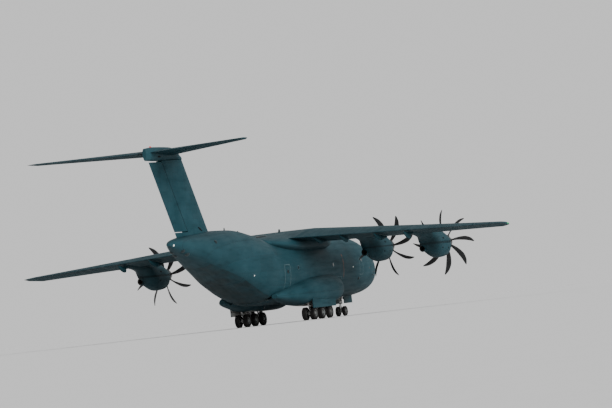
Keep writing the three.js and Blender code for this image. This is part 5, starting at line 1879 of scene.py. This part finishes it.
# Station behind the blades, angle, and half length and half height of each vent
VENTS = [
    (1.3, 10, 0.1, 0.05),
    (1.75, -16, 0.1, 0.05),
    (2.75, 16, 0.15, 0.07),
    (3.0, -22, 0.1, 0.06),
    (1.6, -62, 0.22, 0.1),
]
for engine in ENGINES:
    known = smooth_table(nacelle_table(engine, engine["y"]))
    vents = []
    for s, degrees, long, high in VENTS:
        for turn in (degrees, 180 - degrees):
            vents.append(oval_patch(known, engine["s"] + s, turn, long, high))
    show(f"nacelle_vents_{engine['number']}", together(*vents), HOLLOW_SHADE)

# A slot at the tail fairing, and one low on the fin that lies along its sweep, both painted shade
LEAN_COS, LEAN_SIN = 0.914, 0.407
slots = [oval_patch(smooth_table(TAIL_FAIRING), 40.9, -28, 0.3, 0.07)]
ring = []
for a in turns(28):
    ds, dz = math.cos(a) * 0.42, math.sin(a) * 0.07
    ring.append((34.4 + ds * LEAN_COS - dz * LEAN_SIN, 8.15 + dz * LEAN_COS + ds * LEAN_SIN))
slots.append(side_prism(ring, 0.3, 0.397))
show("fin_slots", both(together(*slots)), HOLLOW_SHADE)


# Finishes for the CAD nodes that stay


def refinish(node, look):
    """Gives a CAD node that stays a procedural material."""
    made = frame["nodes"][node]
    for made_slot in made.material_slots:
        made_slot.link = "OBJECT"
        made_slot.material = look


for node, look in (
    ("cargo_floor", DECK),
    ("cockpit_deck", COCKPIT),
    ("instrument_panel", PANEL),
    # The nose gear doors carry the painted shade of the belly
    ("nose_gear_door_left", SHADED_BELLY_SKIN),
    ("nose_gear_door_right", SHADED_BELLY_SKIN),
):
    refinish(node, look)
for engine in ENGINES:
    refinish(f"engine_block_{engine['number']}", STEEL)


# Floor, light and camera

STAGE = bpy.context.scene.collection.objects
FLOOR_RADIUS = 600.0
FLOOR_SIDES = 128
disc = [(FLOOR_RADIUS * math.cos(a), FLOOR_RADIUS * math.sin(a), 0) for a in turns(FLOOR_SIDES)]
floor = bpy.data.objects.new("floor", mesh_from(disc, [tuple(range(FLOOR_SIDES))]))
STAGE.link(floor)
floor_look = Look("floor_paint")
speckle = floor_look.noise(floor_look.place(), 3.0, 4)
shade = floor_look.mix(floor_look.fit(speckle, 0.3, 0.7), grey(0.582), grey(0.5926))
floor_look.finish(shade, 1.0, Specular_IOR_Level=0.0)
floor.data.materials.append(floor_look.material)

SKY = 0.8
world = bpy.data.worlds.new("studio")
world.use_nodes = True
background = world.node_tree.nodes["Background"].inputs
background["Color"].default_value = grey(1)
background["Strength"].default_value = SKY
bpy.context.scene.world = world

# A wide key light from the side that the photograph shows, and a weak one from the other side
LIGHT_ANGLE = math.radians(32)
for light_name, energy, shines in (
    ("key_light", 5.0, (0.5, 0.8, -0.24)),
    ("fill_light", 1.5, (-0.6, -0.7, -0.35)),
):
    lamp = bpy.data.lights.new(light_name, "SUN")
    lamp.energy = energy
    lamp.angle = LIGHT_ANGLE
    held = bpy.data.objects.new(light_name, lamp)
    held.rotation_euler = Vector(shines).to_track_quat("-Z", "Y").to_euler()
    held.visible_glossy = False
    STAGE.link(held)

PHOTO_LENS = 304.2
CAMERA_AT = Vector((-194.4, -79.4, 0.3))
CAMERA_AIM = Vector((0.86, -2.1, 4.7))
CAMERA_ROLL = math.radians(-6.55)
camera = bpy.data.objects.new("camera", bpy.data.cameras.new("camera"))
camera.data.lens = PHOTO_LENS
camera.data.sensor_width = 36
camera.data.clip_start = 1
camera.data.clip_end = 6000
camera.location = CAMERA_AT
camera.rotation_mode = "QUATERNION"
looks = (CAMERA_AIM - CAMERA_AT).to_track_quat("-Z", "Y")
camera.rotation_quaternion = looks @ Quaternion((0, 0, 1), CAMERA_ROLL)
STAGE.link(camera)
bpy.context.scene.camera = camera
